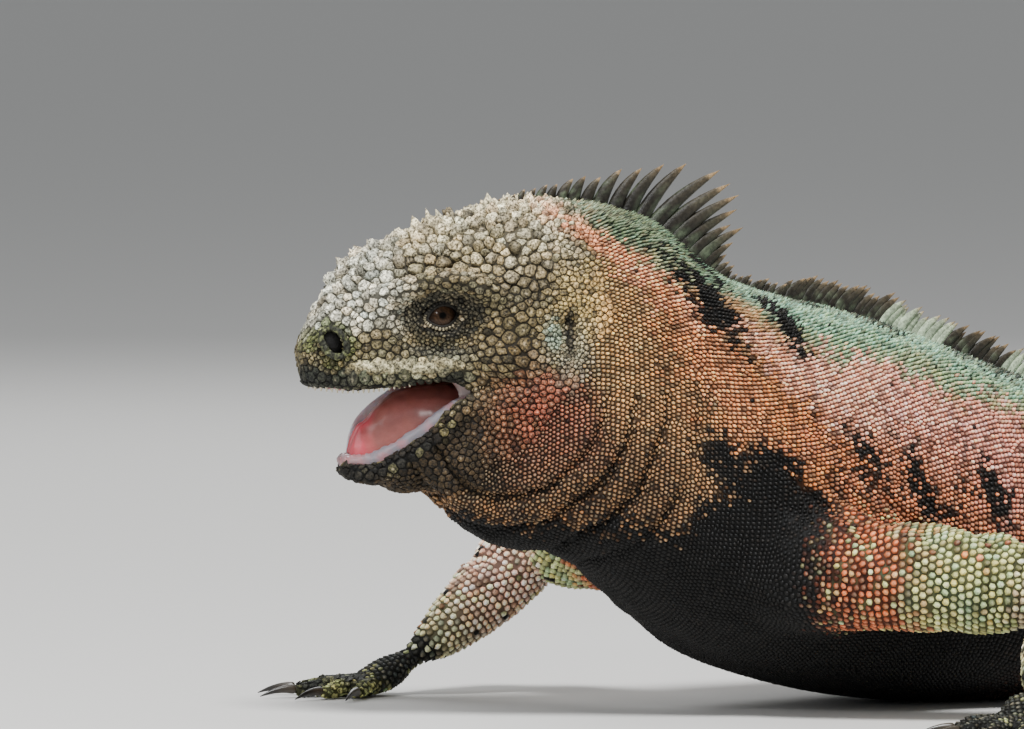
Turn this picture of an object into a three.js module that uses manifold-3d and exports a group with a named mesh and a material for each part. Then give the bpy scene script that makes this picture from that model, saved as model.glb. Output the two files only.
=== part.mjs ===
// A life-size still model of a male marine iguana, head raised and mouth open, resting on the floor.
// Millimetres, +Z up. The animal faces -X with its tail along +X, and its left side is -Y.
// The origin is on the floor under the flat of the belly.
import * as THREE from "three";
import { mergeVertices } from "three/addons/utils/BufferGeometryUtils.js";
import Module from "manifold-3d";

const wasm = await Module();
wasm.setup();

// Driving dimensions
const GAP = 0.3; // kept between pieces that meet face to face
const HEAD_LENGTH = 73; // from the ear drum to the tip of the snout
const HEAD_TURN = 28; // degrees that the head turns to the animal's right
const HEAD_PLACE = [-172, 14, 94.5]; // mid plane of the head, at the ear drum and level with the upper lip
const EYE = { at: [36.5, 14.6, 19.2], radius: 6.5, lidRadius: 8.3, opening: [5.8, 4.1] };
const NOSTRIL = { at: [65.5, 13, 11.8], ring: 3.6, lip: 1.2, size: [2.6, 5, 3] };
const EAR = { at: [0.8, 28.5, 14], size: [3.4, 4, 5] };
const LIP_PROUD = 1.1; // how far the rows of lip plates stand out
const TOOTH = { height: 1.6, radius: 0.8, sunk: 1.5, perSide: 10 };
const SCUTE = { radius: 2.9, height: 2, sunk: 1.4, spacing: 7.2, sides: 5 };
const SPINE = { long: 2.1, thick: 0.95, sunk: 3, lean: 0.55, upright: 0.15, spacing: 5.2, tailSpacing: 9 };
const SPINE_CLEARANCE = 3.4; // from a spine's middle to the cut beside it
const CLAW = { length: 8.5, radius: 1.7, drop: 1.7, sunk: 0.5 };

const UP = new THREE.Vector3(0, 0, 1);
const v = (x, y, z) => new THREE.Vector3(x, y, z);
const { clamp, degToRad, lerp, seededRandom } = THREE.MathUtils;
const mirrored = (stations) => stations.map((s) => ({ ...s, at: [s.at[0], -s.at[1], s.at[2]] }));
const round = (at, radius, flat = 1) => ({ at, wide: radius, top: radius * flat, bottom: radius * flat });

// Solids: closed meshes that are joined and cut

function solidOf(geometry, matrix) {
  const bare = new THREE.BufferGeometry();
  bare.setAttribute("position", geometry.getAttribute("position").clone());
  if (geometry.index) bare.setIndex(geometry.index.clone());
  if (matrix) bare.applyMatrix4(matrix);
  const merged = mergeVertices(bare, 1e-3);
  const triVerts = new Uint32Array(withoutFolds(merged.index.array));
  const vertProperties = merged.getAttribute("position").array;
  const make = () => new wasm.Manifold(new wasm.Mesh({ numProp: 3, vertProperties, triVerts }));
  const made = make();
  if (made.volume() > 0) return made;
  for (let i = 0; i < triVerts.length; i += 3) {
    [triVerts[i + 1], triVerts[i + 2]] = [triVerts[i + 2], triVerts[i + 1]];
  }
  return make();
}

// Merging folds the triangles at a pole into lines, which are left out.
function withoutFolds(index) {
  const kept = [];
  for (let i = 0; i < index.length; i += 3) {
    const [a, b, c] = [index[i], index[i + 1], index[i + 2]];
    if (a !== b && b !== c && a !== c) kept.push(a, b, c);
  }
  return kept;
}

const joined = (...solids) => solids.flat().reduce((sum, piece) => sum.add(piece));
const cut = (solid, ...tools) => tools.flat().reduce((rest, tool) => rest.subtract(tool), solid);
const largest = (solid) =>
  solid.decompose().reduce((best, piece) => (piece.volume() > best.volume() ? piece : best));
const boxAt = (size, centre) => solidOf(new THREE.BoxGeometry(...size).translate(...centre));

const FLOOR = boxAt([2400, 1200, 200], [0, 0, -100]);

// The piece of a parted body that holds a point.
function pieceAt(pieces, point) {
  const probe = boxAt([1, 1, 1], point);
  return pieces.find((piece) => piece.intersect(probe).volume() > 0);
}

// A tube with round ends: oval sections of named half sizes, set along a smooth line. The sections stand
// square to the line, or upright where that is asked for.
class Tube {
  constructor(stations, options) {
    const { sides, rows, startCap, endCap, square = 2.2, squareBelow = square, upright = false } = options;
    this.line = new THREE.CatmullRomCurve3(stations.map((s) => v(...s.at)), false, "catmullrom");
    this.sizes = new THREE.CatmullRomCurve3(
      stations.map((s) => v(s.wide, s.top, s.bottom)),
      false,
      "catmullrom",
    );
    Object.assign(this, { sides, rows, startCap, endCap, square, squareBelow, upright });
  }

  // A cap's share of the full section, which falls in a quarter circle to nothing at the end.
  capShare(t) {
    const depth = Math.min(t / this.startCap, (1 - t) / this.endCap, 1);
    return Math.sqrt(1 - (1 - depth) ** 2);
  }

  frame(t) {
    const along = this.line.getTangent(t);
    const side = along.clone().cross(UP).normalize();
    return { along, side, lift: this.upright ? UP : side.clone().cross(along).normalize() };
  }

  // How far along the line it passes a given X, as a share.
  shareAt(x) {
    let [low, high] = [0, 1];
    for (let i = 0; i < 24; i++) {
      const middle = (low + high) / 2;
      if (this.line.getPoint(middle).x < x) low = middle;
      else high = middle;
    }
    return low;
  }

  // The surface at t along the line and at an angle round it, where 90 degrees is the top.
  point(t, degrees, grow = 0) {
    const { side, lift } = this.frame(t);
    const size = this.sizes.getPoint(t);
    const angle = degToRad(degrees);
    const [across, upward] = [Math.cos(angle), Math.sin(angle)];
    const power = 2 / (upward > 0 ? this.square : this.squareBelow);
    const shaped = (value) => Math.sign(value) * Math.abs(value) ** power;
    const height = upward > 0 ? size.y : size.z;
    return this.line
      .getPoint(t)
      .addScaledVector(side, shaped(across) * (size.x + grow) * this.capShare(t))
      .addScaledVector(lift, shaped(upward) * (height + grow) * this.capShare(t));
  }

  normal(t, degrees) {
    const here = this.point(t, degrees);
    const ahead = this.point(t + 0.01, degrees).sub(here);
    return ahead.cross(this.point(t, degrees + 3).sub(here)).normalize();
  }

  // Rows stand closer near the ends, so that the caps come out round.
  solid(grow = 0, matrix = undefined) {
    const geometry = new THREE.SphereGeometry(1, this.sides, this.rows);
    const [position, uv] = [geometry.getAttribute("position"), geometry.getAttribute("uv")];
    for (let i = 0; i < position.count; i++) {
      const row = 1 - uv.getY(i);
      const t = lerp(row, (1 - Math.cos(Math.PI * row)) / 2, 0.5);
      position.setXYZ(i, ...this.point(clamp(t, 0, 1), 360 * uv.getX(i), grow));
    }
    return solidOf(geometry, matrix);
  }
}

// A thin wall that stands across the head along a bent line in its side view.
function wall(line, thick, width, matrix) {
  const normals = line.map((point, i) => {
    const [before, after] = [line[Math.max(i - 1, 0)], line[Math.min(i + 1, line.length - 1)]];
    return new THREE.Vector2(before[1] - after[1], after[0] - before[0]).normalize();
  });
  const edge = (sign) =>
    line.map((point, i) => new THREE.Vector2(...point).addScaledVector(normals[i], (sign * thick) / 2));
  const outline = new THREE.Shape([...edge(1), ...edge(-1).reverse()]);
  const geometry = new THREE.ExtrudeGeometry(outline, { depth: width, bevelEnabled: false });
  return solidOf(geometry.translate(0, 0, -width / 2).rotateX(Math.PI / 2), matrix);
}

// A slab across a tube, which parts it there. Its top leans back by tilt degrees.
function slab(tube, t, tilt) {
  const { side, lift } = tube.frame(t);
  const back = lift.clone().cross(side);
  const place = new THREE.Matrix4().makeBasis(back, side.clone().negate(), lift);
  const geometry = new THREE.BoxGeometry(GAP, 300, 300).rotateY(degToRad(tilt));
  return solidOf(geometry, place.setPosition(tube.line.getPoint(t)));
}

// A spine, tooth or claw: a cone rooted in the surface, which bends towards lean as it rises.
function cone({ at, grow, lean, height, long, thick, sunk, bend = 0, sides = 4, rows = 1 }) {
  const geometry = new THREE.ConeGeometry(1, height + sunk, sides, rows);
  const across = grow.clone().cross(lean).normalize();
  const position = geometry.getAttribute("position");
  for (let i = 0; i < position.count; i++) {
    const rise = position.getY(i) + (height - sunk) / 2;
    const share = Math.max(rise / height, 0);
    const point = at
      .clone()
      .addScaledVector(grow, rise)
      .addScaledVector(lean, position.getX(i) * long + bend * height * share ** 1.4)
      .addScaledVector(across, position.getZ(i) * thick);
    position.setXYZ(i, ...point);
  }
  return solidOf(geometry);
}

function ellipsoid(centre, size, matrix, sides = 12, rows = 8) {
  return solidOf(new THREE.SphereGeometry(1, sides, rows).scale(...size).translate(...centre), matrix);
}

// The head's own frame: forward, left and up from HEAD_PLACE

const turn = degToRad(HEAD_TURN);
const forward = v(-Math.cos(turn), Math.sin(turn), 0);
const headFrame = new THREE.Matrix4()
  .makeBasis(forward, UP.clone().cross(forward), UP)
  .setPosition(...HEAD_PLACE);
const onHead = (point) => v(...point).applyMatrix4(headFrame);
const headWay = (direction) => direction.clone().transformDirection(headFrame);

const cranium = new Tube(
  [
    { at: [-28, 0, 16], wide: 24, top: 30, bottom: 26 },
    { at: [-13, 0, 17], wide: 26.5, top: 34, bottom: 25 },
    { at: [0, 0, 17.5], wide: 27.5, top: 35, bottom: 23 },
    { at: [12, 0, 17], wide: 27, top: 35, bottom: 20 },
    { at: [24, 0, 16], wide: 24.5, top: 33, bottom: 17.5 },
    { at: [36, 0, 15], wide: 21.5, top: 30.5, bottom: 16.5 },
    { at: [48, 0, 13.5], wide: 18.8, top: 27.5, bottom: 15 },
    { at: [57, 0, 12], wide: 16.4, top: 24, bottom: 13.5 },
    { at: [63, 0, 11.5], wide: 14.8, top: 18.5, bottom: 13 },
    { at: [68, 0, 10.5], wide: 12.6, top: 12, bottom: 11.8 },
    { at: [71.5, 0, 9.5], wide: 9.8, top: 6, bottom: 8.5 },
    { at: [HEAD_LENGTH + 0.5, 0, 9], wide: 6.5, top: 3, bottom: 5 },
  ],
  { sides: 22, rows: 20, startCap: 0.08, endCap: 0.05, square: 2.3, squareBelow: 2.6, upright: true },
);

const palate = new Tube(
  [
    { at: [16, 0, -1], wide: 15, top: 5, bottom: 4 },
    { at: [40, 0, -1.5], wide: 13, top: 6, bottom: 4 },
    { at: [64, 0, -1.5], wide: 8, top: 4, bottom: 4 },
  ],
  { sides: 8, rows: 5, startCap: 0.3, endCap: 0.3, upright: true },
);

const jaw = new Tube(
  [
    { at: [2, 0, -8], wide: 25, top: 12, bottom: 17 },
    { at: [14, 0, -11], wide: 24.5, top: 13, bottom: 17 },
    { at: [28, 0, -15.5], wide: 21.5, top: 13, bottom: 14.4 },
    { at: [36, 0, -20.5], wide: 18.5, top: 9, bottom: 9.8 },
    { at: [46, 0, -24], wide: 15.5, top: 5, bottom: 6 },
    { at: [55, 0, -25], wide: 12.2, top: 2.3, bottom: 2.8 },
    { at: [62, 0, -23.6], wide: 9.5, top: 1.5, bottom: 1.6 },
  ],
  { sides: 18, rows: 13, startCap: 0.12, endCap: 0.12, square: 3.4, squareBelow: 2.2, upright: true },
);

const mouthFloor = new Tube(
  [
    { at: [14, 0, 0], wide: 17, top: 4, bottom: 8 },
    { at: [28, 0, -2.5], wide: 17, top: 8, bottom: 7 },
    { at: [36, 0, -11.5], wide: 14, top: 7, bottom: 6 },
    { at: [46, 0, -19], wide: 11, top: 6, bottom: 4.5 },
    { at: [54, 0, -22.4], wide: 8.2, top: 5, bottom: 2.2 },
    { at: [59, 0, -22.6], wide: 5.2, top: 5, bottom: 1.1 },
  ],
  { sides: 8, rows: 8, startCap: 0.2, endCap: 0.15, upright: true },
);

const tongue = new Tube(
  [
    { at: [18, 0, -6], wide: 9, top: 4, bottom: 8 },
    { at: [26, 0, -8], wide: 11, top: 5.5, bottom: 9 },
    { at: [34, 0, -12], wide: 11.2, top: 8.8, bottom: 9 },
    { at: [42, 0, -15.5], wide: 10, top: 11, bottom: 8.5 },
    { at: [49, 0, -18.5], wide: 8, top: 12, bottom: 7 },
    { at: [55, 0, -20.5], wide: 6.6, top: 9.5, bottom: 4.2 },
    { at: [60, 0, -20.5], wide: 4.6, top: 4.5, bottom: 2.5 },
  ],
  { sides: 10, rows: 9, startCap: 0.2, endCap: 0.14, upright: true },
);
const tongueNotch = ellipsoid([61, 0, -17], [5, 0.9, 8], headFrame, 8, 6);

// The whole body from the throat to the tip of the tail, as one tube

const trunk = new Tube(
  [
    { at: [-207, 29, 71], wide: 14, top: 8, bottom: 6 },
    { at: [-198, 24, 75], wide: 19, top: 16, bottom: 21 },
    { at: [-186, 18, 88], wide: 24, top: 36, bottom: 40 },
    { at: [-171, 11, 93], wide: 30, top: 51, bottom: 48 },
    { at: [-150, 4, 82], wide: 37, top: 59.5, bottom: 54 },
    { at: [-126, 0, 68], wide: 44, top: 55.5, bottom: 54 },
    { at: [-76, 0, 57], wide: 53, top: 54.5, bottom: 55 },
    { at: [-16, 0, 44], wide: 60, top: 48, bottom: 45 },
    { at: [40, 0, 38], wide: 59, top: 41, bottom: 39 },
    { at: [88, 0, 33], wide: 49, top: 36, bottom: 34 },
    { at: [128, 1, 28.5], wide: 34, top: 31, bottom: 29.5 },
    { at: [170, 5, 24], wide: 23, top: 27, bottom: 25 },
    { at: [235, 15, 20.5], wide: 16.5, top: 22, bottom: 21.5 },
    { at: [315, 30, 17.5], wide: 12.5, top: 19, bottom: 18.5 },
    { at: [395, 34, 14.5], wide: 9.5, top: 15.5, bottom: 15.5 },
    { at: [475, 20, 11], wide: 7, top: 12, bottom: 12 },
    { at: [550, -8, 7.5], wide: 4.8, top: 8, bottom: 8.5 },
    { at: [610, -38, 4.5], wide: 3, top: 4.5, bottom: 5.5 },
  ],
  { sides: 22, rows: 48, startCap: 0.03, endCap: 0.03, square: 2.1, squareBelow: 2.4, upright: true },
);

// Where the trunk is parted, behind the neck and the hips and along the tail, and how the cuts lean.
const TRUNK_CUTS = [
  { x: -129, tilt: 16 },
  { x: 142, tilt: 0 },
  { x: 258, tilt: 0 },
  { x: 396, tilt: 0 },
  { x: 521, tilt: 0 },
];

// The cuts round the back of the head and through the hinge of the jaw, forward and up in the head's frame

const neckLine = [
  [14, 80],
  [-6, 45],
  [-9, 14],
  [8, -12],
  [33, -33],
  [40, -60],
];
const HINGE_SHARE = 0.82; // where the jaw's cut meets the neck's third stretch
const jawHinge = [0, 1].map((i) => lerp(neckLine[2][i], neckLine[3][i], HINGE_SHARE));
const jawLine = [[38, -5], [28, -2.1], [16, -5.5], jawHinge];
const CUT_WIDTH = 160;
const neckCut = wall(neckLine, GAP, CUT_WIDTH, headFrame);
const jawCut = wall(jawLine, GAP, CUT_WIDTH, headFrame);
const trunkCuts = TRUNK_CUTS.map(({ x, tilt }) => slab(trunk, trunk.shareAt(x), tilt));

const body = joined(trunk.solid(), cranium.solid(0, headFrame), jaw.solid(0, headFrame));
const bodyPieces = cut(body, neckCut, jawCut, trunkCuts, FLOOR).decompose();

// The head: brows, lids, nostrils, ears, lips, teeth and the raised plates of the crown

const tubeOptions = { sides: 7, rows: 6, startCap: 0.3, endCap: 0.3 };
const browLine = [
  round([58, 12.5, 24], 2.6),
  round([45, 16.5, 28], 3.2),
  round([31, 20, 29.5], 3.4),
  round([17, 23.5, 28], 3),
];

function sideOfHead(sign) {
  const stationsOn = (line) => (sign > 0 ? line : mirrored(line));
  const place = ([a, lateral, up]) => [a, sign * lateral, up];
  const ball = (radius) => ellipsoid(place(EYE.at), [radius, radius, radius], headFrame, 12, 8);
  const [a, lateral, up] = EYE.at;
  const opening = new THREE.CylinderGeometry(1, 1, 20, 12)
    .scale(EYE.opening[0], 1, EYE.opening[1])
    .translate(...place([a, lateral + 12, up]));
  const rim = new THREE.TorusGeometry(NOSTRIL.ring, NOSTRIL.lip, 5, 10)
    .rotateX(Math.PI / 2)
    .rotateZ(-sign * 0.45)
    .translate(...place(NOSTRIL.at));
  return {
    raised: [
      new Tube(stationsOn(browLine), tubeOptions).solid(0, headFrame),
      ellipsoid(place([62, 10.5, 11.5]), [3.6, 3.6, 4.2], headFrame, 8, 6),
      solidOf(rim, headFrame),
      ball(EYE.lidRadius),
    ],
    sunk: [
      ball(EYE.radius + GAP),
      solidOf(opening, headFrame),
      ellipsoid(place(NOSTRIL.at), NOSTRIL.size, headFrame, 10, 6),
      ellipsoid(place(EAR.at), EAR.size, headFrame, 10, 6),
    ],
  };
}

// A row of lip plates: a band of the tube, grown a little, along the edge of the mouth.
function lipBand(tube, line, height) {
  return tube.solid(LIP_PROUD, headFrame).intersect(wall(line, height, 120, headFrame));
}

function teeth() {
  const made = [];
  for (const sign of [-1, 1]) {
    for (let i = 0; i < TOOTH.perSide; i++) {
      const t = lerp(0.62, 0.9, i / (TOOTH.perSide - 1));
      const [edge, middle] = [cranium.point(t, -38), cranium.line.getPoint(t)];
      const gum = middle.z - cranium.sizes.getPoint(t).z * 0.86;
      made.push(
        cone({
          at: onHead([edge.x, sign * Math.abs(edge.y) * 0.88, gum]),
          grow: v(0, 0, -1),
          lean: forward,
          height: TOOTH.height,
          long: TOOTH.radius,
          thick: TOOTH.radius,
          sunk: TOOTH.sunk,
        }),
      );
    }
  }
  return made;
}

// Raised plates in staggered rows over the crown and the top of the snout, clear of the eyes.
function crownScutes() {
  const made = [];
  const [first, last, spread] = [0.3, 0.88, 130];
  const crownLength = cranium.line.getLength() * (last - first);
  const rows = Math.round(crownLength / (SCUTE.spacing * 0.9));
  for (let row = 0; row <= rows; row++) {
    const t = lerp(first, last, row / rows);
    const size = cranium.sizes.getPoint(t);
    const girth = ((size.x + size.y) / 2) * degToRad(spread);
    const count = Math.max(Math.round(girth / SCUTE.spacing), 2);
    for (let i = 0; i < count; i++) {
      const degrees = 90 + spread * ((i + 0.25 + 0.5 * (row % 2)) / count - 0.5);
      const at = cranium.point(t, degrees);
      const nearEye = Math.hypot(at.x - EYE.at[0], at.z - EYE.at[2]) < 13;
      if (nearEye || at.z < 17) continue;
      const vary = 0.8 + 0.4 * seededRandom();
      made.push(
        cone({
          at: onHead(at.toArray()),
          grow: headWay(cranium.normal(t, degrees)),
          lean: forward,
          height: SCUTE.height * vary,
          long: SCUTE.radius * vary,
          thick: SCUTE.radius * vary,
          sunk: SCUTE.sunk,
          sides: SCUTE.sides,
        }),
      );
    }
  }
  return made;
}

// The crest: one row of spines down the back, tall on the nape and small over the shoulders

// Pairs of an X along the back, or of a place along the crown, and the height of the spines there.
const CREST = [
  [-170, 5.6],
  [-163, 8],
  [-155, 12],
  [-149, 17.5],
  [-144, 18.5],
  [-138, 15.5],
  [-131, 10.5],
  [-126, 5],
  [-120, 4],
  [-102, 4],
  [-98, 8],
  [-60, 8.5],
  [60, 8.5],
  [130, 7.5],
  [240, 7],
  [400, 6],
  [550, 3.6],
  [610, 2],
];
const CROWN_CREST = [
  [14, 1.8],
  [10, 2.4],
  [6, 3.2],
  [2, 4],
];
const CREST_ENDS = [-168.5, 604];

function crestHeight(x) {
  const next = CREST.findIndex(([place]) => place > x);
  const [[near, low], [far, high]] = [CREST[next - 1], CREST[next]];
  return lerp(low, high, (x - near) / (far - near));
}

// One spine at a point of the ridge, where back is the way along the ridge towards the tail.
function spine(at, back, height, slim) {
  const square = back.clone().cross(UP).cross(back).normalize();
  return cone({
    at,
    grow: square.lerp(UP, SPINE.upright).normalize(),
    lean: back.clone().setZ(0).normalize(),
    height,
    long: SPINE.long * (height > 12 ? 1.15 : slim),
    thick: SPINE.thick * slim,
    sunk: SPINE.sunk * slim,
    bend: SPINE.lean,
    rows: height > 6 ? 2 : 1,
  });
}

// The spines of one length of the trunk, clear of the cuts at its ends.
function crestSpines(from, to) {
  const made = [];
  const onRidge = (x) => trunk.point(trunk.shareAt(x), 90);
  const [first, last] = [from, to].map(onRidge);
  const clear = (at) => Math.min(at.distanceTo(first), at.distanceTo(last)) > SPINE_CLEARANCE;
  let x = from;
  while (x < to) {
    const [at, back] = [onRidge(x), onRidge(x + 1).sub(onRidge(x))];
    const height = crestHeight(x) * (0.88 + 0.24 * seededRandom());
    const slim = Math.min(trunk.sizes.getPoint(trunk.shareAt(x)).y / 14, 1);
    if (clear(at)) made.push(spine(at, back, height, slim));
    x += lerp(SPINE.spacing, SPINE.tailSpacing, clamp((x + 60) / 300, 0, 1)) / back.length();
  }
  return made;
}

const crownSpines = CROWN_CREST.map(([place, height]) => {
  const onCrown = (a) => onHead(cranium.point(cranium.shareAt(a), 90).toArray());
  const [at, behind] = [onCrown(place), onCrown(place - 1)];
  return spine(at, behind.sub(at), height, 0.8);
});

// Nodes: each is one closed solid with its own material, placed by its middle

const model = new THREE.Group();
const COLOURS = {
  head: 0x8d8a78,
  jaw: 0x45423a,
  tongue: 0xb4574f,
  eye: 0x4a3024,
  neck: 0xa77f58,
  torso: 0xb4785e,
  tail: 0x5e5b50,
  upperLeg: 0x9db193,
  lowerLeg: 0x8aa08a,
  foot: 0x5f6a5c,
  claw: 0x2e2925,
};

function addNode(name, solid, colour, roughness = 0.75) {
  const mesh = largest(solid).getMesh();
  const geometry = new THREE.BufferGeometry();
  geometry.setAttribute("position", new THREE.BufferAttribute(mesh.vertProperties, 3));
  geometry.setIndex(new THREE.BufferAttribute(mesh.triVerts, 1));
  geometry.computeBoundingBox();
  const middle = geometry.boundingBox.getCenter(v(0, 0, 0));
  geometry.translate(-middle.x, -middle.y, -middle.z);
  const material = new THREE.MeshStandardMaterial({ color: colour, roughness, metalness: 0 });
  const node = new THREE.Mesh(geometry, material);
  node.name = name;
  node.position.copy(middle);
  model.add(node);
}

const tongueSolid = tongue.solid(0, headFrame).subtract(tongueNotch);
const tongueSpace = tongue.solid(GAP, headFrame);
const sidesOfHead = [sideOfHead(1), sideOfHead(-1)];
const upperLip = lipBand(cranium, [[22, 0.6], [76, 0.6]], 5);
const LOWER_LIP_HEIGHT = 4.4;
const lowerLipLine = [0.4, 0.55, 0.7, 0.85, 1].map((t) => {
  const edge = jaw.point(Math.min(t, 0.98), 90);
  return [edge.x, edge.z - LOWER_LIP_HEIGHT / 2];
});
const lowerLip = lipBand(jaw, lowerLipLine, LOWER_LIP_HEIGHT);

const headPiece = pieceAt(bodyPieces, onHead([40, 0, 20]).toArray());
const headRaised = joined(headPiece, upperLip, sidesOfHead.flatMap((side) => side.raised), crownScutes());
const headSunk = sidesOfHead.flatMap((side) => side.sunk);
const headSolid = cut(headRaised, neckCut, jawCut, palate.solid(0, headFrame), tongueSpace, headSunk);
addNode("head", joined(largest(headSolid), teeth(), crownSpines), COLOURS.head);

const jawPiece = pieceAt(bodyPieces, onHead([36, 0, -24]).toArray());
const jawSolid = cut(jawPiece.add(lowerLip), neckCut, jawCut, mouthFloor.solid(0, headFrame), tongueSpace);
addNode("lower_jaw", jawSolid, COLOURS.jaw);
addNode("tongue", tongueSolid, COLOURS.tongue, 0.35);

for (const [name, sign] of [["eye_left", 1], ["eye_right", -1]]) {
  const [a, lateral, up] = EYE.at;
  const size = [EYE.radius, EYE.radius, EYE.radius];
  addNode(name, ellipsoid([a, sign * lateral, up], size, headFrame, 12, 8), COLOURS.eye, 0.15);
}

const trunkNodes = ["neck", "torso", "tail_base", "tail_middle", "tail_end", "tail_tip"];
const atRidge = ({ x, tilt }) => x + trunk.sizes.getPoint(trunk.shareAt(x)).y * Math.tan(degToRad(tilt));
const edges = [CREST_ENDS[0], ...TRUNK_CUTS.map(atRidge), CREST_ENDS[1]];
trunkNodes.forEach((name, i) => {
  const middle = trunk.line.getPoint(trunk.shareAt(lerp(edges[i], edges[i + 1], 0.6)));
  const piece = cut(pieceAt(bodyPieces, middle.toArray()), tongueSpace);
  const colour = COLOURS[name] ?? COLOURS.tail;
  addNode(name, joined(piece, crestSpines(edges[i], edges[i + 1])), colour);
});

// Legs: each piece is cut to fit what it grows from, down to the claws

const HAND = {
  palm: 15,
  wide: 8.5,
  deep: 2.6,
  digit: 2.7,
  lengths: [13, 19, 22, 20, 13],
  fan: [-52, -24, 0, 22, 50],
};
const FOOT = {
  palm: 22,
  wide: 10,
  deep: 3.7,
  digit: 3,
  lengths: [13, 20, 28, 36, 22],
  fan: [-34, -15, 1, 16, 52],
};

const LEGS = [
  {
    names: ["upper_arm_left", "forearm_left", "hand_left"],
    side: -1,
    heading: 24,
    shape: HAND,
    upper: [
      round([-122, -20, 45], 17),
      round([-118, -44, 41], 16),
      round([-98, -67, 40], 15),
      round([-72, -92, 37], 12.5),
    ],
    lower: [round([-70, -93, 37], 12), round([-86, -106, 24], 11), round([-104, -118, 9.5], 7.5, 0.85)],
  },
  {
    names: ["upper_arm_right", "forearm_right", "hand_right"],
    side: 1,
    heading: 18,
    shape: HAND,
    upper: [
      round([-122, 20, 48], 17),
      round([-119, 44, 46], 15.5),
      round([-117, 66, 45], 14),
      round([-118, 90, 43], 12),
    ],
    lower: [round([-118, 91, 43], 11.5), round([-134, 99, 27], 10.5), round([-152, 107, 10], 7.5, 0.85)],
  },
  {
    names: ["thigh_left", "shin_left", "foot_left"],
    side: -1,
    heading: 34,
    shape: FOOT,
    upper: [
      round([120, -14, 30], 20),
      round([113, -36, 30], 19),
      round([99, -62, 32], 17),
      round([84, -88, 33], 13),
    ],
    lower: [round([83, -89, 33], 12.5), round([107, -102, 22], 12), round([132, -112, 10], 8, 0.85)],
  },
  {
    names: ["thigh_right", "shin_right", "foot_right"],
    side: 1,
    heading: 40,
    shape: FOOT,
    upper: [
      round([121, 15, 30], 20),
      round([117, 38, 30], 19),
      round([107, 63, 32], 17),
      round([95, 89, 33], 13),
    ],
    lower: [round([94, 90, 33], 12.5), round([119, 101, 22], 12), round([145, 109, 10], 8, 0.85)],
  },
];
const limbOptions = { sides: 12, rows: 9, startCap: 0.15, endCap: 0.2 };

// A direction over the floor, in degrees from straight ahead towards the animal's own side.
const heading = (degrees, side) => v(-Math.cos(degToRad(degrees)), side * Math.sin(degToRad(degrees)), 0);

function palmOf({ lower, shape, side, heading: ahead }) {
  const wrist = v(...lower.at(-1).at);
  const end = wrist.clone().addScaledVector(heading(ahead, side), shape.palm).setZ(shape.deep);
  const middle = wrist.clone().lerp(end, 0.5);
  const stations = [
    round(wrist.toArray(), shape.wide * 0.85, 0.75),
    round(middle.toArray(), shape.wide, 0.62),
    round(end.toArray(), shape.wide * 1.05, 0.5),
  ];
  return { end, tube: new Tube(stations, { sides: 8, rows: 5, startCap: 0.3, endCap: 0.3 }) };
}

function digitsOf({ shape, side, heading: ahead }, palmEnd) {
  return shape.lengths.map((length, i) => {
    const out = heading(ahead + shape.fan[i], side);
    const root = palmEnd.clone().addScaledVector(heading(ahead + 90, side), (i - 2) * shape.wide * 0.42);
    const start = root.clone().addScaledVector(out, -5).setZ(shape.deep);
    const tip = root.clone().addScaledVector(out, length).setZ(shape.digit * 0.5);
    const knuckle = start.clone().lerp(tip, 0.5).setZ(shape.deep * 1.3);
    const stations = [
      round(start.toArray(), shape.digit * 1.1),
      round(knuckle.toArray(), shape.digit),
      round(tip.toArray(), shape.digit * 0.85),
    ];
    return { out, tip, tube: new Tube(stations, { sides: 6, rows: 5, startCap: 0.2, endCap: 0.2 }) };
  });
}

// A claw grows from the end of its digit and curves down, clear of the floor.
function clawOf({ out, tip, tube }, digitRadius) {
  const height = CLAW.length + digitRadius;
  const whole = cone({
    at: tip.clone().addScaledVector(out, -digitRadius * 0.7).setZ(tip.z + 0.9),
    grow: out,
    lean: v(0, 0, -1),
    height,
    long: CLAW.radius,
    thick: CLAW.radius * 0.8,
    sunk: CLAW.sunk,
    bend: CLAW.drop / height,
    sides: 5,
    rows: 2,
  });
  return cut(whole, tube.solid(GAP), FLOOR);
}

for (const leg of LEGS) {
  const [upper, lower] = [new Tube(leg.upper, limbOptions), new Tube(leg.lower, limbOptions)];
  const palm = palmOf(leg);
  const digits = digitsOf(leg, palm.end);
  const hand = joined(palm.tube.solid(), digits.map((digit) => digit.tube.solid()));
  const [upperName, lowerName, handName] = leg.names;
  addNode(upperName, cut(upper.solid(), trunk.solid(GAP), FLOOR), COLOURS.upperLeg);
  addNode(lowerName, cut(lower.solid(), upper.solid(GAP), FLOOR), COLOURS.lowerLeg);
  addNode(handName, cut(hand, lower.solid(GAP), FLOOR), COLOURS.foot);
  digits.forEach((digit, i) => {
    addNode(`claw_${handName}_${i + 1}`, clawOf(digit, leg.shape.digit), COLOURS.claw, 0.4);
  });
}

export default model;
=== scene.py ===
"""A male marine iguana as a life-size still model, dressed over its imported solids.

Lengths in this file are millimetres in the row frame, and turn to metres as a mesh is made. The animal
faces -X, its tail runs along +X and its left side is -Y. The head has a frame of its own, written as
(forward, left, up) from the ear drum. A tube's station is its middle, then half width, top and bottom.
"""

import logging
import math
from collections.abc import Callable, Sequence
from dataclasses import dataclass, field
from enum import Enum
from functools import partial, reduce

import bmesh
import bpy
import numpy as np
from mathutils import Matrix, Vector
from mathutils.bvhtree import BVHTree
from mathutils.kdtree import KDTree


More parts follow.
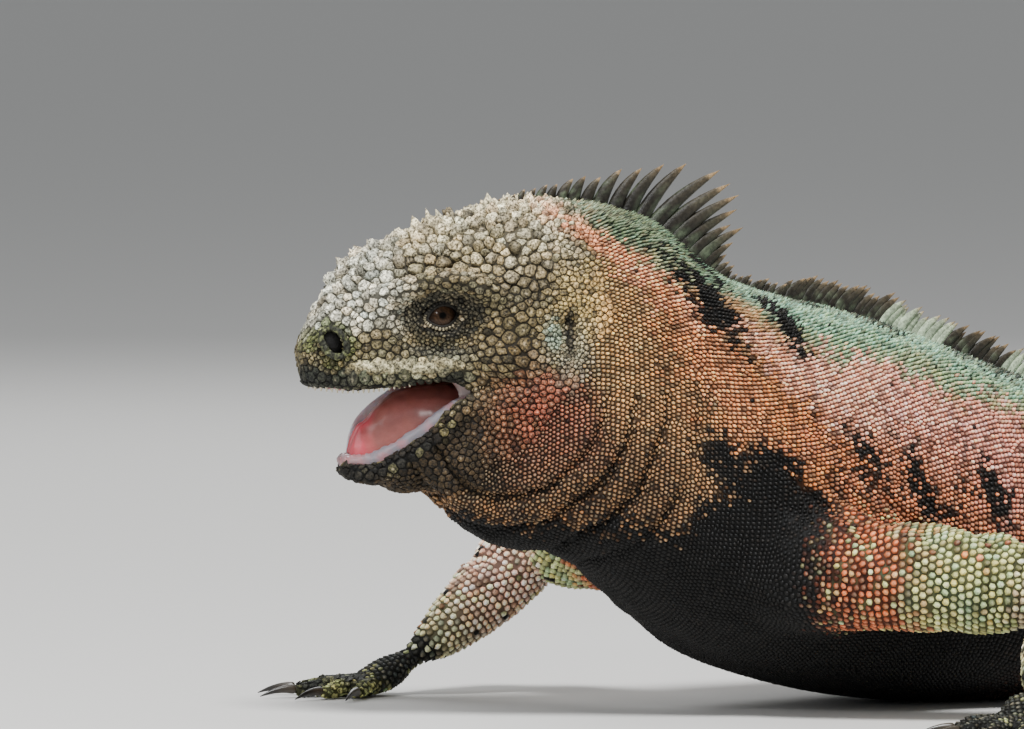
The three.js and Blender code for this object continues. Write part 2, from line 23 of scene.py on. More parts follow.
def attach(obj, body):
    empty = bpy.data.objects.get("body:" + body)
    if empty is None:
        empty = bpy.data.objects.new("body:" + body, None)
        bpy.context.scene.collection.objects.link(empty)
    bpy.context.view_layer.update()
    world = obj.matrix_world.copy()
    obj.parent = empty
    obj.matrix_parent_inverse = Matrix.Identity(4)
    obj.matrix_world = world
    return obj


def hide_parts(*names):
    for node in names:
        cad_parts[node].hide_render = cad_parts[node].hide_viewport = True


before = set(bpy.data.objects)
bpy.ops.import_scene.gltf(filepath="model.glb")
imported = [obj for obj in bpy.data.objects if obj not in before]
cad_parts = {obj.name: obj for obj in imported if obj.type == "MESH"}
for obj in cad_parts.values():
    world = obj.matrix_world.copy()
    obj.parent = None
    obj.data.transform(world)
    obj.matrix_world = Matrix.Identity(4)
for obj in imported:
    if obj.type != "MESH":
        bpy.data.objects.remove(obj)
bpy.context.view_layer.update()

log = logging.getLogger("iguana")

Array = np.ndarray
Mesh = bpy.types.Mesh
Material = bpy.types.Material
Row = tuple[float, ...]

MM = 0.001
UP = np.array([0.0, 0.0, 1.0])
COAT = 0.7  # how far the skin lies inside the solids, so that the scales fill them out
HEAD_PLACE = np.array([-172.0, 14.0, 94.5])
HEAD_TURN = 28.0
COS_TURN, SIN_TURN = math.cos(math.radians(HEAD_TURN)), math.sin(math.radians(HEAD_TURN))
HEAD_AXES = np.array([[-COS_TURN, SIN_TURN, 0.0], [-SIN_TURN, -COS_TURN, 0.0], [0.0, 0.0, 1.0]])
EYE = (36.5, 14.6, 19.2)
EYE_RADIUS = 6.5
EYE_OPENING = (4.4, 2.9)  # half sizes between the lids
EYE_TILT = math.radians(13.0)  # the front corner of the eye lies lower
GAZE = (-1.0, 0.9)  # the opening's middle from the ball's, forward and up
LIDS = (EYE[0] + GAZE[0], EYE[2] + GAZE[1])  # the opening's middle, forward and up
NOSTRIL = (65.5, 13.0, 11.8)
EAR = (0.8, 28.5, 14.0)
SIDES = ((1, "left"), (-1, "right"))


# Numbers, fields and colours


def unit(vectors: Array) -> Array:
    """The same directions, each with length one."""
    return vectors / np.maximum(np.linalg.norm(vectors, axis=-1, keepdims=True), 1e-9)


def ease(low: float, high: float, value: Array) -> Array:
    """A smooth step, nought at low and one at high, which falls where low is above high."""
    share = np.clip((value - low) / (high - low), 0.0, 1.0)
    return share * share * (3.0 - 2.0 * share)


def bump(value: Array, middle: float, reach: float) -> Array:
    """A soft hump, one in the middle and nought past its reach."""
    return ease(1.0, 0.0, np.abs(value - middle) / reach)


def mottle(points: Array, size: float, seed: int) -> Array:
    """A smooth field of soft blots, from -1 to 1.

    Args:
        points: places in millimetres.
        size: the distance between blots.
        seed: which field.

    Returns:
        The field at each place.
    """
    rng = np.random.default_rng(seed)
    total = np.zeros(len(points))
    for _ in range(9):
        way = unit(rng.normal(size=3)) * (2.0 * math.pi / size) * rng.uniform(0.6, 1.7)
        total += np.sin(points @ way + rng.uniform(0.0, 6.28))
    return np.clip(total / 3.6, -1.0, 1.0)


def colour(code: str) -> Array:
    """A linear colour from its sRGB hex value, such as "8a7c5f"."""
    values = np.array([int(code[i : i + 2], 16) / 255.0 for i in (0, 2, 4)])
    return np.where(values <= 0.04045, values / 12.92, ((values + 0.055) / 1.055) ** 2.4)


def laid(under: Array | str, *layers: tuple[str, Array]) -> Array:
    """Lays colours over others, one after another.

    Args:
        under: linear colours, or the hex value of one.
        layers: the hex value of each colour, and how much of it is laid on, from 0 to 1.

    Returns:
        The mixed colours.
    """
    tone = colour(under) if isinstance(under, str) else under
    for code, share in layers:
        part = np.clip(share, 0.0, 1.0)[:, None]
        tone = tone * (1 - part) + colour(code) * part
    return tone


# Shapes: tubes of oval sections, as the solids have


@dataclass(frozen=True)
class Tube:
    """A tube with round ends, through stations of (x, y, z, half width, top, bottom)."""

    stations: tuple[Row, ...]
    caps: tuple[float, float] = (0.06, 0.06)
    square: float = 2.2
    square_below: float = 2.2
    upright: bool = False

    def at(self, share: Array) -> Array:
        """The smooth stations at shares of the way along.

        Args:
            share: from 0 to 1.

        Returns:
            Rows of x, y, z, half width, top and bottom.
        """
        known = np.array(self.stations, dtype=float)
        last = len(known) - 1
        padded = np.vstack([2 * known[0] - known[1], known, 2 * known[-1] - known[-2]])
        place = np.clip(np.asarray(share, dtype=float), 0.0, 1.0) * last
        index = np.minimum(np.floor(place).astype(int), last - 1)
        part = (place - index)[:, None]
        before, start, end, after = (padded[index + k] for k in range(4))
        leave, arrive = (end - before) / 2, (after - start) / 2
        bend = -3 * start + 3 * end - 2 * leave - arrive
        return start + leave * part + bend * part**2 + (2 * start - 2 * end + leave + arrive) * part**3

    def axes(self, share: Array) -> tuple[Array, ...]:
        """The directions along the tube, to its side and upwards.

        Args:
            share: from 0 to 1.

        Returns:
            Three unit vectors for each share.
        """
        ahead = self.at(np.minimum(share + 1e-4, 1.0))[:, :3]
        along = unit(ahead - self.at(np.maximum(share - 1e-4, 0.0))[:, :3])
        side = unit(np.cross(along, UP))
        return along, side, np.broadcast_to(UP, side.shape) if self.upright else unit(np.cross(side, along))

    def point(self, share: Array, degrees: Array, grow: float = 0.0) -> Array:
        """Places on the surface.

        Args:
            share: how far along, from 0 to 1.
            degrees: how far round, where 90 is the top.
            grow: added to the half sizes.

        Returns:
            One place in each row.
        """
        share, degrees = np.broadcast_arrays(np.asarray(share, float), np.asarray(degrees, float))
        place = self.at(share)
        _, side, lift = self.axes(share)
        across, upward = np.cos(np.radians(degrees)), np.sin(np.radians(degrees))
        power = np.where(upward > 0, 2 / self.square, 2 / self.square_below)
        height = np.where(upward > 0, place[:, 4], place[:, 5]) + grow
        depth = np.minimum(np.minimum(share / self.caps[0], (1 - share) / self.caps[1]), 1.0)
        cap = np.sqrt(np.clip(1 - (1 - depth) ** 2, 0, 1))
        wide = np.sign(across) * np.abs(across) ** power * (place[:, 3] + grow) * cap
        high = np.sign(upward) * np.abs(upward) ** power * height * cap
        return place[:, :3] + side * wide[:, None] + lift * high[:, None]

    def share_at(self, x: Array) -> Array:
        """How far along the tube each X lies, for a tube that runs along +X."""
        shares = np.linspace(0.0, 1.0, 3000)
        return np.interp(x, self.at(shares)[:, 0], shares)

    def mesh(self, sides: int, rows: int, grow: float = 0.0) -> Mesh:
        """The tube's closed surface.

        Args:
            sides: faces round it.
            rows: faces along it.
            grow: added to the half sizes.

        Returns:
            A new mesh.
        """
        mesh, places = round_mesh(sides, rows)
        row = np.arccos(np.clip(-places[:, 2], -1, 1)) / math.pi
        share = (row + (1 - np.cos(np.pi * row)) / 2) / 2
        degrees = np.degrees(np.arctan2(places[:, 1], places[:, 0]))
        write_points(mesh, self.point(np.clip(share, 0, 1), degrees, grow))
        return outward(mesh)


def on_head(points: Sequence[Sequence[float]] | Array) -> Array:
    """Places in the row frame from places in the head's own frame."""
    return HEAD_PLACE + np.atleast_2d(np.asarray(points, float)) @ HEAD_AXES


def from_head(points: Array) -> Array:
    """Places in the head's own frame from places in the row frame."""
    return (points - HEAD_PLACE) @ HEAD_AXES.T


def head_tube(stations: Sequence[Row], side: int = 1, **options: object) -> Tube:
    """A tube given in the head's own frame.

    Args:
        stations: rows of forward, left, up, half width, top and bottom.
        side: -1 puts it on the right of the head.
        options: the tube's other fields.

    Returns:
        The tube in the row frame.
    """
    rows = np.array(stations, dtype=float)
    rows[:, 1] *= side
    rows[:, :3] = on_head(rows[:, :3])
    return Tube(tuple(map(tuple, rows)), **options)


def eye_ring(side: int, grow: float, count: int) -> Array:
    """Places round the opening of the lids, in the head's frame.

    Args:
        side: 1 for the left eye and -1 for the right.
        grow: how far outside the opening's edge.
        count: how many places.

    Returns:
        Rows of forward, left and up, a little over the ball of the lids.
    """
    turns = np.linspace(0, 2 * math.pi, count + 1)[:-1]
    along = (EYE_OPENING[0] + grow * 1.1) * np.cos(turns)
    high = (EYE_OPENING[1] + grow) * np.sin(turns) * (1 - 0.34 * np.abs(np.cos(turns)) ** 2.4)
    ahead = along * math.cos(EYE_TILT) + high * math.sin(EYE_TILT) + GAZE[0]
    rise = high * math.cos(EYE_TILT) - along * math.sin(EYE_TILT) + GAZE[1]
    depth = np.sqrt(np.maximum((EYE_RADIUS + 0.3) ** 2 - ahead**2 - rise**2, 4.0))
    return np.stack([EYE[0] + ahead, side * (EYE[1] + depth), EYE[2] + rise], axis=1)


def round_at(x: float, y: float, z: float, radius: float, flat: float = 1.0) -> Row:
    """A round station of a limb, with its height as a share of its width."""
    return (x, y, z, radius, radius * flat, radius * flat)


@dataclass(frozen=True)
class Foot:
    """Sizes of a hand or foot, and the length of each digit and its way, in degrees."""

    palm: float
    wide: float
    deep: float
    digit: float
    lengths: Row
    fan: Row


@dataclass(frozen=True)
class Leg:
    """One leg: the solids it stands for, its side, its heading and its two long tubes."""

    names: tuple[str, str, str]
    side: int
    heading: float
    foot: Foot
    upper: Tube
    lower: Tube

    def way(self, degrees: float) -> Array:
        """A direction over the floor, in degrees from straight ahead to the leg's own side."""
        turned = math.radians(degrees)
        return np.array([-math.cos(turned), self.side * math.sin(turned), 0.0])

    def palm(self) -> tuple[Tube, Array]:
        """The palm.

        Returns:
            Its tube, and the point at its front end that the digits spread from.
        """
        wrist, wide = np.array(self.lower.stations[-1][:3]), self.foot.wide
        end = wrist + self.way(self.heading) * self.foot.palm
        end[2] = self.foot.deep
        rows = (
            round_at(*wrist, wide * 0.85, 0.75),
            round_at(*((wrist + end) / 2), wide, 0.62),
            round_at(*end, wide * 1.05, 0.5),
        )
        return Tube(rows, caps=(0.3, 0.3)), end

    def digits(self) -> list[tuple[Tube, Array, Array]]:
        """The five digits.

        Returns:
            The tube, its tip and the way it points, for each digit.
        """
        end, digit, deep = self.palm()[1], self.foot.digit, self.foot.deep
        made = []
        for i, length in enumerate(self.foot.lengths):
            out = self.way(self.heading + self.foot.fan[i])
            root = end + self.way(self.heading + 90) * (i - 2) * self.foot.wide * 0.42
            start, tip = root - out * 5, root + out * length
            start[2], tip[2] = deep, digit * 0.5
            knuckle = (start + tip) / 2
            knuckle[2] = deep * 1.3
            rows = (round_at(*start, digit * 1.1), round_at(*knuckle, digit), round_at(*tip, digit * 0.85))
            made.append((Tube(rows, caps=(0.2, 0.2)), tip, out))
        return made


def leg(names: str, side: int, heading: float, foot: Foot, upper: Sequence, lower: Sequence) -> Leg:
    """A leg from its solids' names and from rows of stations of its two lengths."""
    lengths = [Tube(tuple(round_at(*row) for row in rows), caps=(0.15, 0.2)) for rows in (upper, lower)]
    return Leg(tuple(names.split()), side, heading, foot, *lengths)


HAND = Foot(15, 8.5, 2.6, 2.7, (13, 19, 22, 20, 13), (-52, -24, 0, 22, 50))
HIND_FOOT = Foot(22, 10, 3.7, 3, (13, 20, 28, 36, 22), (-34, -15, 1, 16, 52))
LEGS = (
    leg(
        "upper_arm_left forearm_left hand_left", -1, 24, HAND,
        [(-122, -20, 45, 17), (-118, -44, 41, 16), (-98, -67, 40, 15), (-72, -92, 37, 12.5)],
        [(-70, -93, 37, 12), (-86, -106, 24, 11), (-104, -118, 9.5, 7.5, 0.85)],
    ),
    leg(
        "upper_arm_right forearm_right hand_right", 1, 18, HAND,
        [(-122, 20, 48, 17), (-119, 44, 46, 15.5), (-117, 66, 45, 14), (-118, 90, 43, 12)],
        [(-118, 91, 43, 11.5), (-134, 99, 27, 10.5), (-152, 107, 10, 7.5, 0.85)],
    ),
    leg(
        "thigh_left shin_left foot_left", -1, 34, HIND_FOOT,
        [(120, -14, 30, 20), (113, -36, 30, 19), (99, -62, 32, 17), (84, -88, 33, 13)],
        [(83, -89, 33, 12.5), (107, -102, 22, 12), (132, -112, 10, 8, 0.85)],
    ),
    leg(
        "thigh_right shin_right foot_right", 1, 40, HIND_FOOT,
        [(121, 15, 30, 20), (117, 38, 30, 19), (107, 63, 32, 17), (95, 89, 33, 13)],
        [(94, 90, 33, 12.5), (119, 101, 22, 12), (145, 109, 10, 8, 0.85)],
    ),
)

TRUNK = Tube(
    (
        (-207, 29, 71, 14, 8, 6), (-198, 24, 75, 19, 16, 21), (-186, 18, 88, 24, 36, 40),
        (-171, 11, 93, 30, 51, 48), (-150, 4, 82, 37, 59.5, 54), (-126, 0, 68, 44, 55.5, 54),
        (-76, 0, 57, 53, 54.5, 55), (-16, 0, 44, 60, 48, 45), (40, 0, 38, 59, 41, 39),
        (88, 0, 33, 49, 36, 34), (128, 1, 28.5, 34, 31, 29.5), (170, 5, 24, 23, 27, 25),
        (235, 15, 20.5, 16.5, 22, 21.5), (315, 30, 17.5, 12.5, 19, 18.5), (395, 34, 14.5, 9.5, 15.5, 15.5),
        (475, 20, 11, 7, 12, 12), (550, -8, 7.5, 4.8, 8, 8.5), (610, -38, 4.5, 3, 4.5, 5.5),
    ),
    caps=(0.03, 0.03), square=2.1, square_below=2.4, upright=True,
)
CRANIUM = head_tube(
    (
        (-28, 0, 16, 24, 30, 26), (-13, 0, 17, 26.5, 34, 25), (0, 0, 17.5, 27.5, 35, 23),
        (12, 0, 17, 27, 35, 20), (24, 0, 16, 24.5, 33, 17.5), (36, 0, 15, 21.5, 30.5, 16.5),
        (48, 0, 13.5, 18.8, 27.5, 15), (57, 0, 12, 16.4, 24, 13.5), (63, 0, 11.5, 14.8, 18.5, 13),
        (68, 0, 10.5, 12.6, 12, 11.8), (71.5, 0, 9.5, 9.8, 6, 8.5), (73.5, 0, 9, 6.5, 3, 5),
    ),
    caps=(0.08, 0.05), square=2.3, square_below=2.6, upright=True,
)
JAW = head_tube(
    (
        (2, 0, -8, 25, 12, 17), (14, 0, -11, 24.5, 13, 17), (28, 0, -15.5, 21.5, 13, 14.4),
        (36, 0, -20.5, 18.5, 9, 9.8), (46, 0, -24, 15.5, 5, 6), (55, 0, -25, 12.2, 2.3, 2.8),
        (62, 0, -23.6, 9.5, 1.5, 1.6),
    ),
    caps=(0.12, 0.12), square=3.4, upright=True,
)
PALATE = head_tube(
    ((16, 0, -1, 15, 5, 4), (38, 0, -0.5, 14.5, 6.5, 5), (50, 0, -1.2, 11.8, 5.5, 4), (64, 0, -1.5, 8, 4, 4)),
    caps=(0.3, 0.3), upright=True,
)
MOUTH_FLOOR = head_tube(
    (
        (14, 0, 0, 17, 4, 8), (28, 0, -2.5, 17, 8, 7), (36, 0, -11.5, 14, 7, 6),
        (46, 0, -19, 11, 6, 4.5), (54, 0, -22.4, 8.2, 5, 2.2), (59, 0, -22.6, 5.2, 5, 1.1),
    ),
    caps=(0.2, 0.15), upright=True,
)
TONGUE = head_tube(
    (
        (18, 0, -6, 9, 4, 8), (26, 0, -8, 11, 8.0, 9), (34, 0, -12, 11.2, 11.8, 9),
        (42, 0, -15.5, 10.4, 12.6, 8.5), (49, 0, -18.5, 8.4, 12.4, 7), (55, 0, -20.5, 6.6, 9.5, 4.2),
        (60, 0, -20.5, 4.6, 4.5, 2.5),
    ),
    caps=(0.2, 0.14), upright=True,
)

# The brow, and the rolls of the lips, as rows of forward, left, up, half width, top and bottom.
BROW = (
    (60, 12.0, 22.5, 2.4, 2.4, 2.4), (50, 17.6, 26.0, 3.2, 3.2, 2.6), (40, 21.6, 28.2, 4.2, 3.6, 2.8),
    (29, 23.6, 28.8, 4.3, 3.6, 3.0), (17, 24.6, 25.4, 3.2, 3.0, 3.0),
)
UPPER_LIP = (
    (23, 19.4, 0.4, 2.2, 2.4, 2.6), (29, 18.4, 2.6, 2.2, 2.2, 2.3), (36, 16.9, 3.8, 2.2, 2.0, 2.1),
    (48, 14.7, 2.4, 2.4, 2.4, 2.3), (57, 13.0, 1.7, 2.4, 2.6, 2.6), (62.5, 11.2, 1.7, 2.4, 2.7, 2.7),
    (66.8, 8.6, 2.4, 2.3, 2.8, 2.9), (69.6, 5.0, 2.6, 2.2, 3.0, 3.1), (70.8, 0.0, 2.8, 2.2, 3.0, 3.3),
)
LIP_BAND = (
    (29, 20.8, 6.6, 1.4, 1.6, 1.6), (38, 18.8, 6.1, 1.6, 2.0, 1.9), (47, 16.8, 5.8, 1.6, 2.0, 1.9),
    (56, 14.6, 5.0, 1.5, 1.8, 1.8), (63, 12.6, 4.4, 1.3, 1.5, 1.5),
)
LOWER_LIP = (
    (25, 19.6, -3.4, 2.2, 2.4, 2.6), (30, 19.4, -6.2, 2.4, 2.4, 3.0), (36, 17.6, -12.6, 2.4, 2.3, 3.2),
    (46, 14.4, -20.2, 2.4, 2.2, 3.4), (52, 11.4, -23.5, 2.4, 2.2, 3.4), (56.6, 8.8, -24.2, 2.4, 2.2, 3.0),
    (59.2, 5.0, -23.7, 2.3, 2.2, 2.5), (60.2, 0.0, -23.4, 2.2, 2.2, 2.3),
)
LOWER_GUM = (
    (24, 16.6, -3.6, 1.3, 1.8, 2.0), (31, 15.8, -6.4, 1.5, 2.6, 2.6), (38, 13.6, -12.4, 1.7, 3.0, 3.0),
    (46, 11.2, -18.0, 1.8, 3.0, 3.0), (52, 8.8, -20.8, 2.0, 2.6, 3.0), (57.0, 6.4, -21.4, 2.2, 2.0, 2.4),
    (59.4, 3.0, -21.3, 2.2, 1.8, 2.4), (59.9, 0.0, -21.2, 2.1, 1.8, 2.4),
)
UPPER_GUM = (
    (24, 15.6, 3.4, 1.4, 1.6, 1.7), (38, 14.4, 3.4, 1.4, 1.6, 1.7), (48, 12.4, 1.8, 1.4, 1.6, 1.7),
    (60, 9.4, 0.6, 1.4, 1.6, 1.7), (67, 6.4, 1.2, 1.4, 1.6, 1.7), (70, 0.0, 1.4, 1.4, 1.6, 1.7),
)
# The far lip's thin inner skin, stretched from the tip of the jaw to the palate.
LIP_SKIN = (
    (59.0, 5.0, -20.5, 0.4, 1.0, 1.0), (57.2, 8.0, -16.0, 0.5, 1.4, 1.4), (55.0, 9.3, -11.6, 0.5, 1.5, 1.5),
    (51.4, 10.2, -7.6, 0.5, 1.4, 1.5), (46.5, 11.2, -4.2, 0.5, 1.5, 1.8), (40.0, 12.4, -1.2, 0.5, 2.4, 3.0),
    (32.0, 13.8, -0.6, 0.5, 3.6, 4.0), (25.0, 15.5, -1.0, 0.5, 3.0, 3.0),
)


# Meshes


def read(items: bpy.types.bpy_prop_collection, name: str, width: int, kind: type = float) -> Array:
    """Reads one property of a mesh's vertices, edges, loops or faces.

    Args:
        items: what is read.
        name: the property.
        width: how many numbers it has.
        kind: the type of number.

    Returns:
        One row for each item.
    """
    values = np.empty(len(items) * width, dtype=kind)
    items.foreach_get(name, values)
    return values.reshape(-1, width)


def read_points(mesh: Mesh) -> Array:
    """The places of a mesh's vertices in millimetres, one in each row."""
    return read(mesh.vertices, "co", 3) / MM


def write_points(mesh: Mesh, places: Array) -> Array:
    """Moves a mesh's vertices.

    Args:
        mesh: the mesh.
        places: their new places in millimetres.

    Returns:
        The same places.
    """
    mesh.vertices.foreach_set("co", np.asarray(places * MM, dtype=np.float32).ravel())
    mesh.update()
    return places


def vertex_normals(mesh: Mesh) -> Array:
    """The mesh's own smooth normals, one in each row."""
    return read(mesh.vertex_normals, "vector", 3)


def swollen(mesh: Mesh, places: Array, rise: Array) -> Array:
    """Moves each vertex out from its place by rise, and gives the new places."""
    return write_points(mesh, places + vertex_normals(mesh) * rise[:, None])


def finder_over(points: Array) -> KDTree:
    """A finder of the nearest place.

    Args:
        points: the places to find.

    Returns:
        The finder, which gives places by their row.
    """
    made = KDTree(len(points))
    for i, point in enumerate(points):
        made.insert(point, i)
    made.balance()
    return made


def from_work(work: bmesh.types.BMesh, name: str = "part") -> Mesh:
    """Makes a mesh of a bmesh.

    Args:
        work: the bmesh, which is freed.
        name: the mesh's name.

    Returns:
        The new mesh.
    """
    mesh = bpy.data.meshes.new(name)
    work.to_mesh(mesh)
    work.free()
    return mesh


def outward(mesh: Mesh) -> Mesh:
    """Turns a mesh's faces outwards.

    Args:
        mesh: the mesh.

    Returns:
        The same mesh.
    """
    work = bmesh.new()
    work.from_mesh(mesh)
    bmesh.ops.recalc_face_normals(work, faces=work.faces)
    work.to_mesh(mesh)
    work.free()
    return mesh


def round_mesh(sides: int, rows: int) -> tuple[Mesh, Array]:
    """A ball of radius one, for other round forms to start from.

    Args:
        sides: faces round it.
        rows: faces from end to end.

    Returns:
        A new mesh, and the places of its vertices.
    """
    work = bmesh.new()
    bmesh.ops.create_uvsphere(work, u_segments=sides, v_segments=rows, radius=1.0)
    mesh = from_work(work)
    return mesh, read(mesh.vertices, "co", 3)


def ball(centre: Sequence[float], radii: Sequence[float], sides: int = 24) -> Mesh:
    """A ball or egg.

    Args:
        centre: its middle in the head's frame.
        radii: half sizes forward, left and up.
        sides: faces round it.

    Returns:
        A new mesh in the row frame.
    """
    mesh, places = round_mesh(sides, sides // 2)
    write_points(mesh, on_head(places * np.array(radii) + np.array(centre)))
    return outward(mesh)


def linked(name: str, data: bpy.types.ID) -> bpy.types.Object:
    """Puts a mesh, lamp or camera in the scene.

    Args:
        name: the object's name.
        data: what it shows.

    Returns:
        The new object.
    """
    made = bpy.data.objects.new(name, data)
    bpy.context.scene.collection.objects.link(made)
    return made


def applied(mesh: Mesh, kind: str, **settings: object) -> Mesh:
    """A mesh with one modifier applied.

    Args:
        mesh: the mesh to change, which is removed.
        kind: the modifier's type.
        settings: its settings.

    Returns:
        The new mesh.
    """
    holder = linked("holder", mesh)
    modifier = holder.modifiers.new("step", kind)
    for name, value in settings.items():
        setattr(modifier, name, value)
    made = bpy.data.meshes.new_from_object(holder.evaluated_get(bpy.context.evaluated_depsgraph_get()))
    bpy.data.objects.remove(holder)
    bpy.data.meshes.remove(mesh)
    return made


def joined(meshes: Sequence[Mesh]) -> Mesh:
    """One mesh that holds several.

    Args:
        meshes: the meshes, which are removed.

    Returns:
        The new mesh.
    """
    work = bmesh.new()
    for mesh in meshes:
        work.from_mesh(mesh)
        bpy.data.meshes.remove(mesh)
    return from_work(work)


def combined(mesh: Mesh, tools: Sequence[Mesh], way: str) -> Mesh:
    """A mesh after one Boolean step with each tool.

    Args:
        mesh: the mesh to start from.
        tools: closed meshes, which are removed.
        way: "UNION" or "DIFFERENCE".

    Returns:
        The new mesh.
    """
    for tool in tools:
        other = linked("tool", tool)
        mesh = applied(mesh, "BOOLEAN", operation=way, solver="MANIFOLD", object=other)
        bpy.data.objects.remove(other)
        bpy.data.meshes.remove(tool)
    return mesh


def relaxed(mesh: Mesh, places: Array, share: Array, turns: int) -> Array:
    """Places drawn towards the middle of their neighbours.

    Args:
        mesh: the mesh that says which are neighbours.
        places: where its vertices are.
        share: how far each moves in a turn, from -1 to 1.
        turns: how many times.

    Returns:
        The new places.
    """
    first, second = ends = read(mesh.edges, "vertices", 2, np.int32).T
    count = np.bincount(ends.ravel(), minlength=len(places))[:, None]
    for _ in range(turns):
        total = np.empty_like(places)
        for axis in range(3):
            near = np.bincount(first, places[second, axis], len(places))
            total[:, axis] = near + np.bincount(second, places[first, axis], len(places))
        places = places + (total / np.maximum(count, 1) - places) * share[:, None]
    return places


def paint(mesh: Mesh, colours: Array) -> None:
    """Gives a mesh its colours, in the attribute that the finishes read.

    Args:
        mesh: the mesh.
        colours: a linear colour for each vertex, or one for all.
    """
    layer = mesh.color_attributes.new(name="Markings", type="FLOAT_COLOR", domain="POINT")
    rgba = np.ones((len(mesh.vertices), 4), dtype=np.float32)
    rgba[:, :3] = np.clip(colours, 0.0, 1.0)
    layer.data.foreach_set("color", rgba.ravel())


def painted(mesh: Mesh, under: Array | str, *layers: tuple[str, Array]) -> Mesh:
    """The same mesh in colours laid over each other."""
    paint(mesh, laid(under, *layers))
    return mesh


def from_arrays(name: str, places: Array, faces: Array) -> Mesh:
    """A mesh of triangles from arrays, for the many small pieces.

    Args:
        name: the mesh's name.
        places: vertices in millimetres.
        faces: three vertices for each triangle.

    Returns:
        A new smooth mesh.
    """
    mesh = bpy.data.meshes.new(name)
    mesh.vertices.add(len(places))
    mesh.loops.add(len(faces) * 3)
    mesh.polygons.add(len(faces))
    mesh.vertices.foreach_set("co", (places * MM).astype(np.float32).ravel())
    mesh.loops.foreach_set("vertex_index", faces.astype(np.int32).ravel())
    mesh.polygons.foreach_set("loop_start", np.arange(0, len(faces) * 3, 3, dtype=np.int32))
    mesh.update(calc_edges=True)
    mesh.shade_smooth()
    return mesh


def piece(name: str, mesh: Mesh, finish: Material, nodes: Sequence[str] = ()) -> None:
    """Puts a finished mesh in the scene as a piece of the animal.

    Args:
        name: the piece's name.
        mesh: its mesh, in the row frame.
        finish: its material.
        nodes: solids that it stands for.
    """
    mesh.name = name
    mesh.materials.clear()
    mesh.materials.append(finish)
    mesh.shade_smooth()
    made = linked(name, mesh)
    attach(made, "root")
    if nodes:
        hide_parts(*nodes)
    mesh.calc_loop_triangles()
    log.info("%s: %d triangles", name, len(mesh.loop_triangles))


# Finishes


class Wet(Enum):
    """How moist a surface is: the weight and the roughness of the film of water on it."""

    DRY = (0.0, 0.03)
    DAMP = (0.35, 0.25)
    WET = (0.7, 0.24)


@dataclass(frozen=True)
class Finish:
    """A surface that reads its colour from the mesh and its fine grain from the row frame."""

    name: str
    roughness: float
    grain_mm: float
    grain_depth: float
    wet: Wet = Wet.DRY
    ior: float = 1.5
    flecks: float = 0.25
    subsurface: float = 0.0
    grain_contrast: float = 0.0

    def material(self) -> Material:
        """Makes the material.

        Returns:
            A new material, named for what it is.
        """
        made = bpy.data.materials.new(self.name)
        made.use_nodes = True
        tree = made.node_tree
        tree.nodes.clear()
        place = add_node(tree, "ShaderNodeTexCoord").outputs["Object"]
        tint = add_node(tree, "ShaderNodeVertexColor", {"layer_name": "Markings"}).outputs["Color"]
        # First blotches within a scale or two, as dried salt and wear leave them, then the grain itself,
        # which is darker in its pits and paler on its tops.
        for size, detail, rough, low, part in (
            (self.grain_mm * 5, 4.0, 0.6, 0.3, self.flecks),
            (self.grain_mm, 5.0, 0.65, 0.4, self.grain_contrast),
        ):
            values = {"Scale": 1.0 / (size * MM), "Detail": detail, "Roughness": rough}
            grain = add_node(tree, "ShaderNodeTexNoise", {}, values, {"Vector": place}).outputs["Fac"]
            values = {"From Min": low, "From Max": 1.0 - low, "To Min": 1.0 - part, "To Max": 1.0 + part}
            level = add_node(tree, "ShaderNodeMapRange", {}, values, {"Value": grain})
            feeds = {0: tint, "Scale": level.outputs["Result"]}
            tint = add_node(tree, "ShaderNodeVectorMath", {"operation": "SCALE"}, {}, feeds).outputs["Vector"]
        values = {"To Min": self.roughness - 0.1, "To Max": self.roughness + 0.12}
        rough = add_node(tree, "ShaderNodeMapRange", {}, values, {"Value": grain})
        values = {"Strength": self.grain_depth, "Distance": self.grain_mm * 0.4 * MM}
        relief = add_node(tree, "ShaderNodeBump", {}, values, {"Height": grain})
        film, film_roughness = self.wet.value
        values = {"IOR": self.ior, "Coat Weight": film, "Coat Roughness": film_roughness}
        if self.wet is Wet.DRY:
            values["Specular IOR Level"] = 0.25
        if self.subsurface > 0:
            values |= {"Subsurface Weight": self.subsurface, "Subsurface Scale": 1.0}
            values["Subsurface Radius"] = (0.0012, 0.0005, 0.0003)
        feeds = {"Base Color": tint, "Roughness": rough.outputs["Result"], "Normal": relief.outputs["Normal"]}
        shader = add_node(tree, "ShaderNodeBsdfPrincipled", {}, values, feeds)
        add_node(tree, "ShaderNodeOutputMaterial", links={"Surface": shader.outputs["BSDF"]})
        return made


def add_node(
    tree: bpy.types.NodeTree,
    kind: str,
    settings: dict[str, object] | None = None,
    inputs: dict[str, object] | None = None,
    links: dict[str | int, bpy.types.NodeSocket] | None = None,
) -> bpy.types.Node:
    """Adds a node with its settings, input values and links.

    Args:
        tree: the material's nodes.
        kind: the node's type.
        settings: the node's own settings.
        inputs: values for its inputs.
        links: sockets that feed its inputs.

    Returns:
        The new node.
    """
    made = tree.nodes.new(kind)
    for name, value in (settings or {}).items():
        setattr(made, name, value)
    for name, value in (inputs or {}).items():
        made.inputs[name].default_value = value
    for name, socket in (links or {}).items():
        tree.links.new(socket, made.inputs[name])
    return made


